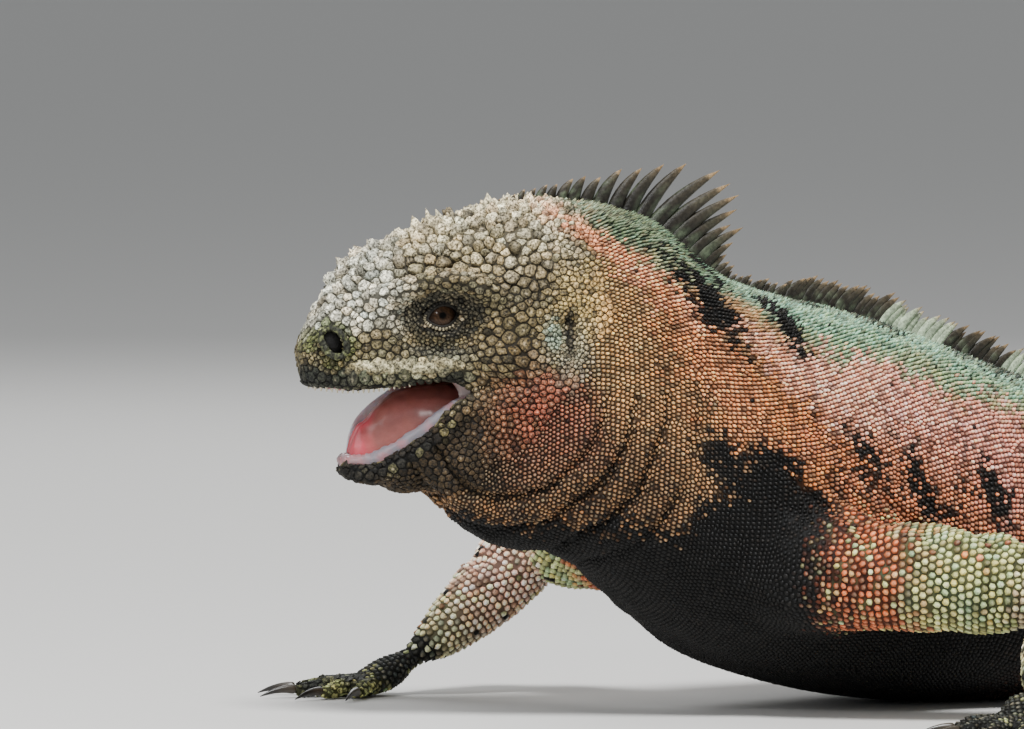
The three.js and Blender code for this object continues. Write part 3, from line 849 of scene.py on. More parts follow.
FINISHES = {
    # Skin shows only as dark lines between the scales, darkened as painted shade there.
    "skin": Finish("scaly_hide_skin", 0.7, 0.5, 0.4),
    # Keratin scales are dry and matt, with a faint sheen where they are rubbed.
    "scale": Finish("keratin_scales", 0.48, 0.45, 0.5, grain_contrast=0.25),
    # The crown's plates are chalky with dried salt, and rough.
    "plate": Finish("chalky_head_plates", 0.58, 0.7, 1.0, flecks=0.4, grain_contrast=0.85),
    # Crest spines are horn, streaked and a little worn. Claws are the same, but smooth and damp.
    "spine": Finish("crest_horn", 0.4, 0.9, 0.6, flecks=0.35, grain_contrast=0.3),
    "claw": Finish("claw_horn", 0.35, 0.6, 0.3, wet=Wet.DAMP),
    # Flesh of the mouth is wet, and light goes a little way into it.
    "mouth": Finish("wet_mouth_lining", 0.36, 0.6, 0.35, Wet.WET, 1.38, 0.08, 0.35),
    "tongue": Finish("wet_tongue", 0.42, 0.45, 0.5, Wet.WET, 1.38, 0.1, 0.4),
    # The cornea is smooth and reflects a small sharp light. Enamel is hard and wet.
    "eye": Finish("polished_eye", 0.14, 0.5, 0.0, Wet.DRY, 1.36, 0.1),
    "tooth": Finish("tooth_enamel", 0.25, 0.5, 0.1, Wet.WET, 1.6, 0.05),
}


# Markings: the same for skin and scales, worked out from the place on the body


@dataclass(frozen=True)
class Patch:
    """A soft-edged mark on the trunk: its middle, its half sizes, its tilt and its colour."""

    x: float
    down: float  # from the crest down the side, as an angle
    long: float
    wide: float
    tilt: float  # from the tail's way to down
    code: str
    strength: float = 1.0
    ragged: float = 0.3


ROUND_MM = 0.83  # millimetres over the side of the trunk for each degree down it
# Where black begins on the chest and belly, partly their own black and partly painted shade underneath,
# in degrees down from the crest, for each X.
BLACK_AND_SHADE_BELOW = (
    (-205, -190, -171, -160, -152, -146, -141, -136, -130, -124, -104, -60, 0, 100),
    (142, 138, 127, 118, 109, 101, 93, 87, 90, 97, 101, 110, 114, 118),
)
# The salmon stripe from the crown to the shoulder: X, degrees down and half width.
STRIPE = (
    (-190, 14, 2.2), (-182, 26, 3.2), (-175, 39, 4.4), (-168, 48, 5.4),
    (-160, 57, 6.6), (-153, 67, 8.0), (-145, 78, 9.5),
)
PATCHES = (
    # The orange shoulder and the flank behind it.
    Patch(-142, 78, 22, 14, 20, "c97a44", 0.7, 0.5),
    Patch(-118, 60, 26, 9, 20, "f8ab8c", 0.8, 0.5),
    Patch(-92, 63, 34, 13, 12, "ffb094", 1.0, 0.5),
    Patch(-60, 67, 36, 15, 8, "f2a08c", 0.85, 0.5),
    Patch(-80, 88, 44, 13, 8, "cc7855", 0.7, 0.5),
    Patch(-20, 82, 46, 20, 4, "e08a76", 0.8, 0.5),
    Patch(36, 86, 46, 19, 0, "a25a46", 0.65, 0.5),
    # Black bands from the crest down over the shoulder.
    Patch(-148, 50, 14, 7.8, 76, "0f0d0a", 1.0, 0.5),
    Patch(-141, 24, 9, 5.0, 70, "0f0d0a"),
    Patch(-121.5, 34, 14, 4.8, 86, "110f0c"),
    # Black saddles over the ridge of the back, broken up at their edges.
    Patch(-104, 8, 9, 6, 30, "15120f", 0.9, 0.5),
    Patch(-76, 12, 8, 12, 60, "171410", 0.9, 0.6),
    Patch(-36, 16, 8, 17, 70, "171410", 0.9, 0.6),
    Patch(4, 14, 9, 16, 62, "171410", 0.9, 0.6),
    Patch(46, 18, 9, 21, 70, "171410", 0.9, 0.6),
    Patch(88, 16, 10, 20, 64, "171410", 0.9, 0.6),
    # The black patches above the arm.
    Patch(-151, 99, 6, 6, 0, "14120f", 1.0, 0.35),
    Patch(-137, 96, 9, 11, 70, "15130f", 1.0, 0.35),
    Patch(-130, 110, 13, 16, 60, "151310"),
    Patch(-106, 77, 7, 2.6, 62, "171310", 1.0, 0.5),
    Patch(-90, 84, 9, 3.2, 62, "171310", 1.0, 0.5),
    Patch(-66, 80, 9, 3.4, 66, "171310", 1.0, 0.5),
)


def throat_fold(points: Array) -> Array:
    """The folds of throat and neck, which curve round the corner of the jaw.

    Args:
        points: places in millimetres.

    Returns:
        From -1 in a groove to about 0.5 on a ridge, and nought away from them.
    """
    forward, _, up = from_head(points).T
    away = np.hypot(forward - 17, (up + 1) * 0.92)
    wave = away / 4.4 + 0.45 * mottle(points, 34, 31) + 0.2 * mottle(points, 12, 32)
    ridge = 0.5 - 1.5 * np.exp(-((np.sin(wave * math.pi / 2) / 0.42) ** 2))
    turned = np.degrees(np.arctan2(-(up + 1), forward - 17))
    below = ease(25, 50, turned) * ease(196, 150, np.where(turned < -90, turned + 360, turned))
    return ridge * below * (ease(20, 27, away) * ease(62, 46, away + 5 * mottle(points, 30, 33)))


@dataclass(frozen=True)
class Markings:
    """The colours of the living animal as fields over its body."""

    seed: int = 7

    def trunk_place(self, points: Array) -> tuple[Array, Array]:
        """Where points lie on the trunk.

        Args:
            points: places in millimetres.

        Returns:
            X, and the angle down from the crest, from 0 to 180.
        """
        place = TRUNK.at(TRUNK.share_at(points[:, 0]))
        across = (points[:, 1] - place[:, 1]) / place[:, 3]
        rise = points[:, 2] - place[:, 2]
        rise = rise / np.where(rise > 0, place[:, 4], place[:, 5])
        return points[:, 0], np.degrees(np.arctan2(np.abs(across), rise))

    def patches(self, points: Array, x: Array, down: Array) -> list[tuple[str, Array]]:
        """The patches of the trunk.

        Args:
            points: places in millimetres.
            x: their X.
            down: their angle down from the crest.

        Returns:
            Each patch's colour, and how much of it lies at each place.
        """
        made = []
        for i, patch in enumerate(PATCHES):
            turned = math.radians(patch.tilt)
            east, south = x - patch.x, (down - patch.down) * ROUND_MM
            along = (east * math.cos(turned) + south * math.sin(turned)) / patch.long
            across = (south * math.cos(turned) - east * math.sin(turned)) / patch.wide
            blots = 0.6 * mottle(points, 7, 40 + i) + 0.5 * mottle(points, 17, 60 + i)
            edge = np.hypot(along, across) + patch.ragged * blots
            made.append((patch.code, ease(1.15, 0.8, edge) * patch.strength))
        return made

    def trunk(self, points: Array) -> Array:
        """Colours of the neck, body and tail.

        Args:
            points: places in millimetres.

        Returns:
            Linear colours.
        """
        x, down = self.trunk_place(points)
        wide, fine = mottle(points, 26, self.seed), mottle(points, 8, self.seed + 1)
        reach = np.interp(x, [-130, -100], [0.0, 6.0])
        mint = ease(48, 32, down - reach + 7 * wide) * ease(-192, -170, x)
        known, shares = np.array(STRIPE), np.linspace(-190, -145, 60)
        line = [np.interp(shares, known[:, 0], known[:, k]) for k in (0, 1, 2)]
        away = np.hypot(x[:, None] - line[0], (down[:, None] - line[1]) * ROUND_MM) / line[2]
        throat = ease(94, 112, down) * ease(-150, -166, x)
        belly = ease(108, 124, down + 7 * wide) * ease(-60, 0, x)
        streak = mottle(points * np.array([1.6, 1.0, 0.55]), 11, self.seed + 3)
        flecks = mottle(points * np.array([1.4, 1.0, 0.7]), 4.5, self.seed + 4)
        tail = ease(80, 200, x + 26 * wide)
        bars = np.sin(x / 9.0 + 0.7 * wide + 0.5 * fine)
        return laid(
            "a2764a",
            # Golden brown beads behind the head, paler high up.
            ("bc9258", ease(-160, -185, x) * bump(down, 62, 42)),
            # The back is pale green, spilling down the flank.
            ("71967a", mint),
            ("4f6d52", mint * ease(-120, -150, x)),
            ("7fa078", bump(down, 44, 16) * ease(-130, -110, x) * 0.6),
            ("4d5840", ease(46, 22, down) * ease(-148, -160, x) * 0.8),
            ("c4703a", ease(50, 62, down - reach + 6 * wide) * ease(-150, -125, x) * 0.9),
            ("f09a70", ease(1.1, 0.75, away.min(axis=1) + 0.3 * fine) * 0.95),
            *self.patches(points, x, down),
            # The throat is golden brown, mottled darker, with painted shade in the grooves of its folds.
            ("664628", throat * 0.85),
            ("35261a", throat * ease(-0.1, 0.6, fine) * 0.7),
            ("1d1610", ease(0.0, -0.8, throat_fold(points)) * 0.8),
            # Chest and belly are black, partly their own colour and partly painted shade underneath, mottled
            # with red further back.
            ("0b0a09", ease(-3, 4, down - np.interp(x, *BLACK_AND_SHADE_BELOW) + 5 * fine + 4 * wide)),
            ("5b3a2c", belly * ease(-0.3, 0.5, fine) * 0.8),
            # Small upright black blotches in the rows of the flank.
            ("1a1511", bump(down, 84, 34) * ease(-132, -112, x) * ease(0.42, 0.62, streak)),
            ("241a13", bump(down, 72, 52) * ease(-176, -160, x) * ease(0.38, 0.62, flecks) * 0.6),
            # The hips and tail turn dark, with a little green.
            ("38362d", tail),
            ("55604b", tail * ease(70, 20, down) * ease(-0.4, 0.6, wide) * 0.7),
            ("1b1a16", tail * ease(0.1, 0.8, bars) * 0.6),
        )

    def head(self, points: Array) -> Array:
        """Colours of the head and jaw.

        Args:
            points: places in millimetres.

        Returns:
            Linear colours.
        """
        forward, _, up = from_head(points).T
        wide, fine = mottle(points, 16, self.seed + 5), mottle(points, 5, self.seed + 6)
        low = ease(9, 0, up + 3 * fine) * ease(32, 14, forward + 0.5 * up)
        stripe = bump(up - 44 - 0.6 * (forward + 3), 0, 5.5) * ease(10, 0, forward + 2 * wide)
        away = np.hypot((forward - EYE[0] + 2.0) / 1.4, (up - EYE[2] - 1.0) / 1.0)
        ahead, rise = forward - EYE[0] - GAZE[0], up - EYE[2] - GAZE[1]
        below = ahead * math.sin(EYE_TILT) + rise * math.cos(EYE_TILT)
        lid = np.hypot((ahead * math.cos(EYE_TILT) - rise * math.sin(EYE_TILT)) / 5.4, below / 3.75)
        trough = np.hypot((forward - 38) / 15, (up - 10 - 0.05 * (forward - 38)) / 2.6)
        lip, lip_end = ease(24, 33, forward), ease(-6, -3.5, up)
        rim = up - np.interp(forward, [24, 36, 47, 54, 61, 68], [1.6, 1.3, -0.2, -1.4, -1.4, -0.5])
        nostril = bump(np.hypot(forward - NOSTRIL[0], up - NOSTRIL[2]), 5.2, 2.6)
        ear = np.hypot((forward - EAR[0] + 1) / 1.2, (up - EAR[2] + 3) / 1.5)
        pale = np.hypot((forward - 4.8) / 2.2, (up - 14.5) / 4.2)
        slit = np.hypot((forward - 0.2) / 1.8, (up - 15.5) / 8.0)
        tone = laid(
            "6c6245",
            # Cheek plates are olive brown, and the granules under them brick red.
            ("5a4d32", bump(forward, 16, 22) * bump(up, 11, 16)),
            ("66422b", low),
            ("8a4a36", low * bump(forward, 7, 19) * bump(up, -8, 17) * ease(-0.7, 0.2, fine + 0.2)),
            ("8c4d3b", bump(forward, 8, 8) * bump(up, 2, 5) * 0.4),
            ("a8905a", ease(12, -4, forward) * bump(up, 25, 23)),
            # Crown and snout are pale with salt.
            ("9d8f6e", ease(25, 36, up + 3 * wide) * ease(-8, 4, forward) * 0.9),
            ("ddd0ac", ease(-8, 4, forward) * ease(34, 44, up + 4 * fine) * 0.9),
            ("d2cdb8", ease(40, 54, forward) * ease(13, 20, up + 2 * wide)),
            ("6a6050", ease(0.15, 0.7, fine) * ease(22, 32, up) * 0.6),
            # The green of the back and the salmon stripe begin behind the crown.
            ("74836a", ease(4, -8, forward) * ease(36, 46, up) * ease(-0.8, 0.2, fine)),
            ("e0946a", stripe * ease(-0.9, -0.1, fine) * ease(30, 36, up)),
            # Dark round the eye, partly the lids' own colour and partly painted shade under the brow; dark
            # along its trough below and before it; and darker behind the brow, partly painted shade.
            ("35332b", ease(9.8, 5.6, away + 1.8 * fine) * 0.9),
            ("aa9c80", bump(lid, 1.0, 0.17) * ease(0.2, -0.9, below)),
            ("4a493d", ease(1.2, 0.4, trough) * 0.8),
            ("463e2d", bump(forward, 13, 13) * bump(up, 27, 10) * 0.75),
            # The upper lip: a yellow band over dark plates with green between them.
            ("b4ac88", lip * bump(up, 5.8, 3.6) * ease(66, 56, forward)),
            ("3a392d", lip * ease(4.4, 3.2, up) * lip_end),
            ("77785a", lip * bump(up, 1.8, 3.0) * ease(-0.5, 0.5, fine + 0.4 * wide) * 0.8),
            ("1d1d18", lip * ease(1.6, 0.4, rim) * lip_end * 0.9),
            ("2c2d25", ease(58, 67, forward) * ease(6, 2, up + 2 * wide)),
            ("5c6838", nostril * ease(-0.2, 0.6, wide + 0.4) * 0.8),
            # Round the ear drum the skin is pale, with painted shade in its slit.
            ("9b9a88", ease(8, 3, ear + 2 * fine) * 0.4),
            ("8d9a84", ease(1.3, 0.6, pale + 0.25 * fine) * 0.9),
            ("25211b", ease(1.2, 0.6, slit) * 0.9),
        )
        return self.jaw(points, tone)

    def jaw(self, points: Array, tone: Array) -> Array:
        """Lays the lower jaw's colours over the head's.

        Args:
            points: places in millimetres.
            tone: the head's colours there.

        Returns:
            Linear colours.
        """
        forward, _, up = from_head(points).T
        fine, spots = mottle(points, 5, self.seed + 8), mottle(points, 6.5, self.seed + 9)
        lower = ease(20, 34, forward - 0.35 * up) * ease(-6, -9, up)
        edge = np.interp(forward, [20, 34, 45, 55, 63], [-3, -10, -18, -22, -21.5])
        lip = bump(up - edge, -2.0, 5.5) * ease(20, 28, forward)
        return laid(
            tone,
            ("352a1a", lower),
            ("191916", lip * (0.35 + 0.6 * ease(28, 42, forward))),
            ("5f5839", lower * ease(0.35, 0.75, spots) * ease(-7, -2, up - edge) * 0.75),
            ("201d17", lower * ease(50, 60, forward) * ease(-0.4, 0.3, fine + 0.4)),
            ("7c5a38", lower * ease(-28, -34, up) * ease(48, 36, forward)),
        )

    def limb(self, points: Array, which: Leg, share: Array, stage: int) -> Array:
        """Colours of a leg.

        Args:
            points: places in millimetres.
            which: the leg.
            share: how far along the tube each place is.
            stage: 0 for the upper length, 1 for the lower and 2 for the foot.

        Returns:
            Linear colours.
        """
        wide, fine = mottle(points, 15, self.seed + 11), mottle(points, 7, self.seed + 12)
        whole = np.ones(len(points))
        tone = laid("bfc27c", ("a0b98c", ease(0.0, 0.8, wide) * 0.7))
        if stage == 0:
            peach = ease(0.7, 0.52, share + 0.06 * wide) * ease(-0.8, 0.0, fine + 0.3)
            black = ease(0.55, 0.3, share) * ease(0.1, 0.45, fine + 0.3 * wide)
            tone = laid(tone, ("b85c34", peach), ("1b1813", black))
        if stage == 1:
            # The far forearm is rosy, and its colour is raised as painted light.
            far = which.names[0] == "upper_arm_right"
            rosy = bump(share, 0.3, 0.75) * ease(-1.2, -0.4, wide) * (0.95 if far else 0.45)
            tone = laid(tone, ("b4bb94", whole * 0.5), ("f0b8a2", rosy)) * (1.45 if far else 1.0)
        dark = whole * (0.0, 0.05, 1.0)[stage] * ease(-0.9, 0.1, wide + 0.4)
        return laid(tone, ("2b2c26", dark), ("191813", ease(0.4, 0.75, fine) * (0.35, 0.35, 0.5)[stage]))

    def at(self, points: Array) -> Array:
        """Colours anywhere on the animal.

        Args:
            points: places in millimetres.

        Returns:
            Linear colours.
        """
        forward, _, up = from_head(points).T
        ahead = ease(-12, -2, forward - 0.25 * np.minimum(up, 0) + 0.15 * np.maximum(up - 20, 0))
        ahead = ahead * ease(-34, -28, up + 0.35 * (forward - 20))
        tone = self.trunk(points) * (1 - ahead[:, None]) + self.head(points) * ahead[:, None]
        for which in LEGS:
            for stage, tube in enumerate((which.upper, which.lower, which.palm()[0])):
                share, ratio = nearest_on(tube, points)
                first = 0.3 if stage == 0 else -0.2
                part = ease(1.5, 1.2, ratio) * ease(first, first + 0.14, share)
                if stage == 2:
                    part = np.maximum(part, near_digits(which, points))
                tone = tone * (1 - part[:, None]) + self.limb(points, which, share, stage) * part[:, None]
        return tone


def nearest_on(tube: Tube, points: Array) -> tuple[Array, Array]:
    """How points lie beside a tube.

    Args:
        tube: a leg's tube.
        points: places in millimetres.

    Returns:
        How far along the nearest place is, and the distance from the line as a share of the radius.
    """
    shares = np.linspace(0, 1, 25)
    rows = tube.at(shares)
    away = np.linalg.norm(points[:, None, :] - rows[None, :, :3], axis=2)
    best = away.argmin(axis=1)
    return shares[best], away[np.arange(len(points)), best] / rows[best, 3]


def near_digits(which: Leg, points: Array) -> Array:
    """One on and near the digits of a leg, and nought away from them."""
    near = [ease(3.2, 2.6, nearest_on(tube, points)[1]) for tube, _, _ in which.digits()]
    return np.maximum.reduce(near)


# The skin


@dataclass
class Skin:
    """One closed skin over the whole animal, under the scales."""

    voxel: float = 1.7
    markings: Markings = field(default_factory=Markings)

    def __post_init__(self) -> None:
        """Builds the mesh, and what the scales need to find their place on it."""
        self.mesh = self.shaped()
        self.places = read_points(self.mesh)
        self.normals = vertex_normals(self.mesh)
        polygons = [tuple(face.vertices) for face in self.mesh.polygons]
        self.tree = BVHTree.FromPolygons([tuple(p) for p in self.places], polygons)
        self.finder = finder_over(self.places)

    def shaped(self) -> Mesh:
        """Joins the tubes of the body, opens the mouth and smooths the joints between them.

        Returns:
            The skin's mesh.
        """
        body = TRUNK.mesh(56, 170, -COAT)
        body = combined(body, [CRANIUM.mesh(48, 60, -COAT), JAW.mesh(40, 36, -COAT)], "UNION")
        body = combined(body, [PALATE.mesh(20, 14), MOUTH_FLOOR.mesh(20, 18)], "DIFFERENCE")
        parts = [body, *self.features()]
        for which in LEGS:
            parts.append(self.muscle(which).mesh(32, 24, -COAT))
            parts += [which.upper.mesh(32, 28, -COAT), which.lower.mesh(28, 22, -COAT)]
            parts.append(which.palm()[0].mesh(20, 14, -COAT / 2))
            parts += [tube.mesh(14, 16, -COAT / 3) for tube, _, _ in which.digits()]
        mesh = applied(joined(parts), "REMESH", mode="VOXEL", voxel_size=self.voxel * MM)
        places = read_points(mesh)
        everywhere = np.ones(len(places))
        for _ in range(6):
            places = relaxed(mesh, places, everywhere * 0.5, 1)
            places = relaxed(mesh, places, everywhere * -0.52, 1)
        places = write_points(mesh, relaxed(mesh, places, self.joints(places) * 0.5, 36))
        swollen(mesh, places, self.folds(places))
        places = self.hollowed(read_points(mesh))
        places[:, 2] = np.maximum(places[:, 2], 0.25)
        write_points(mesh, places)
        return mesh

    def muscle(self, which: Leg) -> Tube:
        """The shoulder or hip, where a leg widens into the body.

        Args:
            which: the leg.

        Returns:
            A short thick tube.
        """
        first, second, third = (np.array(row[:4]) for row in which.upper.stations[:3])
        rows = (
            round_at(*(first[:3] + np.array([-1.0, 0.0, 3.0])), first[3] * 1.45),
            round_at(*(second[:3] * 0.85 + first[:3] * 0.15 + UP), second[3] * 1.18),
            round_at(*(second[:3] * 0.4 + third[:3] * 0.6), third[3] * 1.03),
        )
        return Tube(rows, caps=(0.3, 0.3))

    def features(self) -> list[Mesh]:
        """Brows, lids, lips, nostril swellings and cheeks.

        Returns:
            Their meshes, which overlap the head.
        """
        made = []
        for side, _ in SIDES:
            for line, cap in ((BROW, 0.3), (UPPER_LIP, 0.05), (LIP_BAND, 0.12), (LOWER_LIP, 0.05)):
                made.append(head_tube(line, side, caps=(cap, cap)).mesh(16, 40))
            for (forward, left, up), radii in (
                (EYE, (8.3, 7.7, 7.4)),
                ((NOSTRIL[0] - 1.5, 11.0, 11.8), (5.2, 4.6, 5.4)),
                ((8, 21.5, -7), (17, 6.5, 11)),
                ((12, 20.0, 8), (17, 7.8, 9)),
            ):
                made.append(ball((forward, side * left, up), radii))
        return made

    def joints(self, places: Array) -> Array:
        """How much each place is smoothed, most where limbs and head join the body.

        Args:
            places: places in millimetres.

        Returns:
            From 0 to 1.
        """
        total = np.zeros(len(places))
        for which in LEGS:
            root, elbow, wrist = which.upper.stations[1], which.upper.stations[-1], which.lower.stations[-1]
            for station, reach in ((root, 34), (elbow, 13), (wrist, 10)):
                away = np.linalg.norm(places - np.array(station[:3]), axis=1)
                total = np.maximum(total, ease(reach, reach * 0.5, away))
        forward, _, up = from_head(places).T
        nape = bump(forward, -8, 24) * ease(-30, -20, up)
        throat = ease(-20, -27, up) * bump(forward, 22, 26)
        return np.clip(np.maximum(total, np.maximum(nape, throat)), 0.0, 1.0)

    def folds(self, places: Array) -> Array:
        """How far each place stands out in the folds of throat, neck, armpit and flank.

        Args:
            places: places in millimetres.

        Returns:
            Heights in millimetres.
        """
        x, down = self.markings.trunk_place(places)
        wave = (down * ROUND_MM * 0.9 - x * 0.5) * 2 * math.pi / 8.0
        creases = np.sin(wave + 1.5 * mottle(places, 24, 22))
        rise = 1.7 * throat_fold(places) + 0.85 * (bump(x, -112, 52) * bump(down, 96, 26)) * creases
        flank = ease(-120, -95, x) * ease(120, 90, x) * bump(down, 96, 44)
        rise = rise + 0.55 * flank * mottle(places * np.array([1.5, 1.0, 0.4]), 26, 23)
        return rise + 0.25 * mottle(places, 12, 24) * ease(8, 20, places[:, 2])

    def hollowed(self, places: Array) -> Array:
        """Presses in the eye openings, nostrils and ear drums.

        Args:
            places: places in millimetres.

        Returns:
            The new places.
        """
        local = from_head(places)
        for side, _ in SIDES:
            facing = np.sign(local[:, 1]) == side
            away = np.hypot((local[:, 0] - EYE[0]) / 1.15, local[:, 2] - EYE[2])
            local[:, 1] -= side * 2.0 * bump(away, 7.8, 3.2) * facing * (np.abs(local[:, 1]) > 10)
            for (forward, *_, up), (long, high), depth in (
                (LIDS, (4.9, 3.5), 7.0),
                (NOSTRIL, (2.9, 3.6), 5.0),
                (EAR, (2.6, 6.0), 2.6),
            ):
                away = np.hypot((local[:, 0] - forward) / long, (local[:, 2] - up) / high)
                local[:, 1] -= side * (ease(1.25, 0.8, away) * facing * (np.abs(local[:, 1]) > 6)) * depth
        return on_head(local)

    def corners(self) -> Array:
        """The three vertices of each of the skin's triangles."""
        self.mesh.calc_loop_triangles()
        return read(self.mesh.loop_triangles, "vertices", 3, np.int32)

    def onto(self, points: Array) -> tuple[Array, ...]:
        """Sets points down on the skin.

        Args:
            points: places in millimetres.

        Returns:
            The nearest places on the skin, the way out there, and how far each point moved.
        """
        found = np.array([self.tree.find_nearest(point)[0] for point in points])
        out = self.normals[[self.finder.find(place)[1] for place in found]]
        return found, out, np.linalg.norm(found - points, axis=1)

    def placed(self, nodes: Sequence[str], finish: Material) -> None:
        """Puts the skin in the scene in its colours, darkened as painted shade between the scales over it.

        Args:
            nodes: the solids it stands for.
            finish: its material.
        """
        forward, left, up = from_head(self.places).T
        inside = ease(15, 19, forward) * ease(66, 62, forward)
        wall = np.interp(forward, [15, 40, 55, 64], [19, 16, 11.5, 7])
        inside = inside * ease(0, -1.5, np.abs(left) - wall) * bump(up, -8, 20)
        mouth = inside * ease(0.0, 0.3, self.in_mouth(self.places))
        # Painted shade: the skin is darkened to 0.13 of its markings between the scales, and the mouth's
        # flesh is laid over that.
        painted(self.mesh, self.markings.at(self.places) * 0.13, ("a5645c", mouth))
        piece("skin", self.mesh, finish, nodes)

    def in_mouth(self, points: Array) -> Array:
        """Tells which places are in the mouth.

        Args:
            points: places in millimetres.

        Returns:
            One inside the two hollows of the mouth and nought outside them.
        """
        part = np.zeros(len(points))
        forward, left, up = from_head(points).T
        for tube in (PALATE, MOUTH_FLOOR):
            rows = tube.at(np.linspace(0.04, 0.96, 40))
            middle = from_head(rows[:, :3])
            width, high, low = (np.interp(forward, middle[:, 0], rows[:, k]) for k in (3, 4, 5))
            rise = up - np.interp(forward, middle[:, 0], middle[:, 2])
            reach = np.hypot(left / width, rise / np.where(rise > 0, high, low))
            within = (forward > middle[0, 0] - 2) & (forward < middle[-1, 0] + 2)
            part = np.maximum(part, ease(1.3, 1.1, reach) * within)
        return part


# Scales


@dataclass(frozen=True)
class Form:
    """How a scale is built, as rings from its rim inwards, and how much one differs from the next.

    A ring has its share of the radius, its height in a flat scale and in a cone, and its tone, which is
    painted light: painted shade at the rim and a painted highlight at the top. The last three end with one
    more number for the tip.
    """

    corners: int
    shares: Row
    flat: Row
    cone: Row
    tones: Row
    widest: float  # the radius, as a share of the size
    tilt: float  # how far its top leans, either way
    painted_side_light: float  # painted light in front and painted shade behind, as light falls on it
    stray: float  # how far off its colour is taken, as a share of the size
    spread: float  # how much lighter or darker than its neighbours
    warm: float  # how much warmer or cooler than they are


class Look(Enum):
    """The two kinds of scale: plates of many corners, and small beads."""

    PLATE = Form(
        12, (1.0, 0.94, 0.8, 0.42), (-0.4, 0.6, 0.93, 1.0, 1.0), (-0.4, 0.25, 0.6, 1.15, 2.0),
        (0.03, 0.5, 1.0, 1.1, 1.25), widest=0.92, tilt=0.12, painted_side_light=0.15, stray=0.25, spread=0.19, warm=0.04,
    )
    BEAD = Form(
        6, (1.0, 0.74), (-0.6, 0.6, 1.0), (-0.6, 0.42, 1.4),
        (0.01, 0.8, 2.15), widest=0.68, tilt=0.07, painted_side_light=0.34, stray=1.3, spread=0.28, warm=0.09,
    )


class Spacing:
    """Keeps roots apart with a grid of cells."""

    def __init__(self, cell: float = 2.4, share: float = 0.72) -> None:
        """Starts with no roots.

        Args:
            cell: the side of a cell.
            share: how close two roots may be, as a share of the smaller one's size.
        """
        self.cell = cell
        self.share = share
        self.cells: dict[tuple[int, int, int], list[tuple[float, float, float, float]]] = {}

    def claim(self, root: Array, size: float) -> bool:
        """Takes a place if it is free.

        Args:
            root: the place.
            size: the scale's width.

        Returns:
            Whether there was room.
        """
        x, y, z = float(root[0]), float(root[1]), float(root[2])
        i, j, k = (int(math.floor(value / self.cell)) for value in (x, y, z))
        for di in (-1, 0, 1):
            for dj in (-1, 0, 1):
                for dk in (-1, 0, 1):
                    for px, py, pz, other in self.cells.get((i + di, j + dj, k + dk), ()):
                        room = self.share * min(size, other)
                        if (px - x) ** 2 + (py - y) ** 2 + (pz - z) ** 2 < room * room:
                            return False
        self.cells.setdefault((i, j, k), []).append((x, y, z, size))
        return True

    def claims(self, roots: Array, sizes: Array) -> Array:
        """Takes places one after another, and tells which were free."""
        return np.array([self.claim(root, size) for root, size in zip(roots, sizes)], dtype=bool)


@dataclass
class Sown:
    """Roots of scales: where they stand, which way is out, which way they lie, and their forms."""

    root: Array
    out: Array
    lie: Array
    size: Array
    unwrap: Array
    rise: Array | None = None
    point: Array | None = None
    cone: Array | None = None
    long: Array | None = None

    def __post_init__(self) -> None:
        """Fills in the form of a low round scale where none is given."""
        count = len(self.root)
        self.rise = self.size * 0.34 if self.rise is None else self.rise
        self.point = np.zeros(count) if self.point is None else self.point
        self.cone = np.zeros(count) if self.cone is None else self.cone
        self.long = np.ones(count) if self.long is None else self.long

    def __len__(self) -> int:
        """How many scales."""
        return len(self.root)

    def where(self, keep: Array) -> "Sown":
        """The scales that keep picks out."""
        return Sown(*(getattr(self, name)[keep] for name in self.__dataclass_fields__))

    def with_more(self, other: "Sown") -> "Sown":
        """These scales and others."""
        names = self.__dataclass_fields__
        return Sown(*(np.concatenate([getattr(self, n), getattr(other, n)]) for n in names))

    def thinned(self, taken: Spacing) -> "Sown":
        """The scales that find room, the first ones first, among the roots that they join."""
        return self.where(taken.claims(self.root, self.size))

    def settled(self, skin: Skin, stay: int, turns: int) -> "Sown":
        """Lets scales push each other apart over the skin, so that rows bend and close up as in life.

        Args:
            skin: what they stand on.
            stay: how many at the start push but don't move.
            turns: how many times.

        Returns:
            The same scales at their new places.
        """
        for _ in range(turns):
            finder = finder_over(self.root)
            near = np.array([[index for _, index, _ in finder.find_n(root, 8)] for root in self.root])[:, 1:]
            gap = self.root[:, None] - self.root[near]
            away = np.linalg.norm(gap, axis=2, keepdims=True)
            room = ((self.size[:, None] + self.size[near]) * 0.5)[..., None]
            push = (gap / np.maximum(away, 1e-3) * np.clip(room - away, 0.0, 1.0)).sum(axis=1) * 0.34
            self.root[stay:], self.out[stay:], _ = skin.onto(self.root[stay:] + push[stay:])
        return self


def head_unwrap(points: Array) -> Array:
    """Where places on the head lie on its unwrap: along it, and round it."""
    forward, left, up = from_head(points).T
    return np.stack([(forward + 30) / 110, 0.5 + np.arctan2(left, up - 5) / 6.3], axis=1)


def head_lie(points: Array) -> Array:
    """The way that the head's scales lie: backwards, and down over the cheek."""
    forward, _, up = from_head(points).T
    return unit(-HEAD_AXES[:1] - UP * (0.45 * (bump(forward, 16, 20) * bump(up, 3, 14)))[:, None])


def run_along(line: Array) -> Array:
    """How far along a line each of its places is."""
    return np.concatenate([[0], np.cumsum(np.linalg.norm(np.diff(line, axis=0), axis=1))])


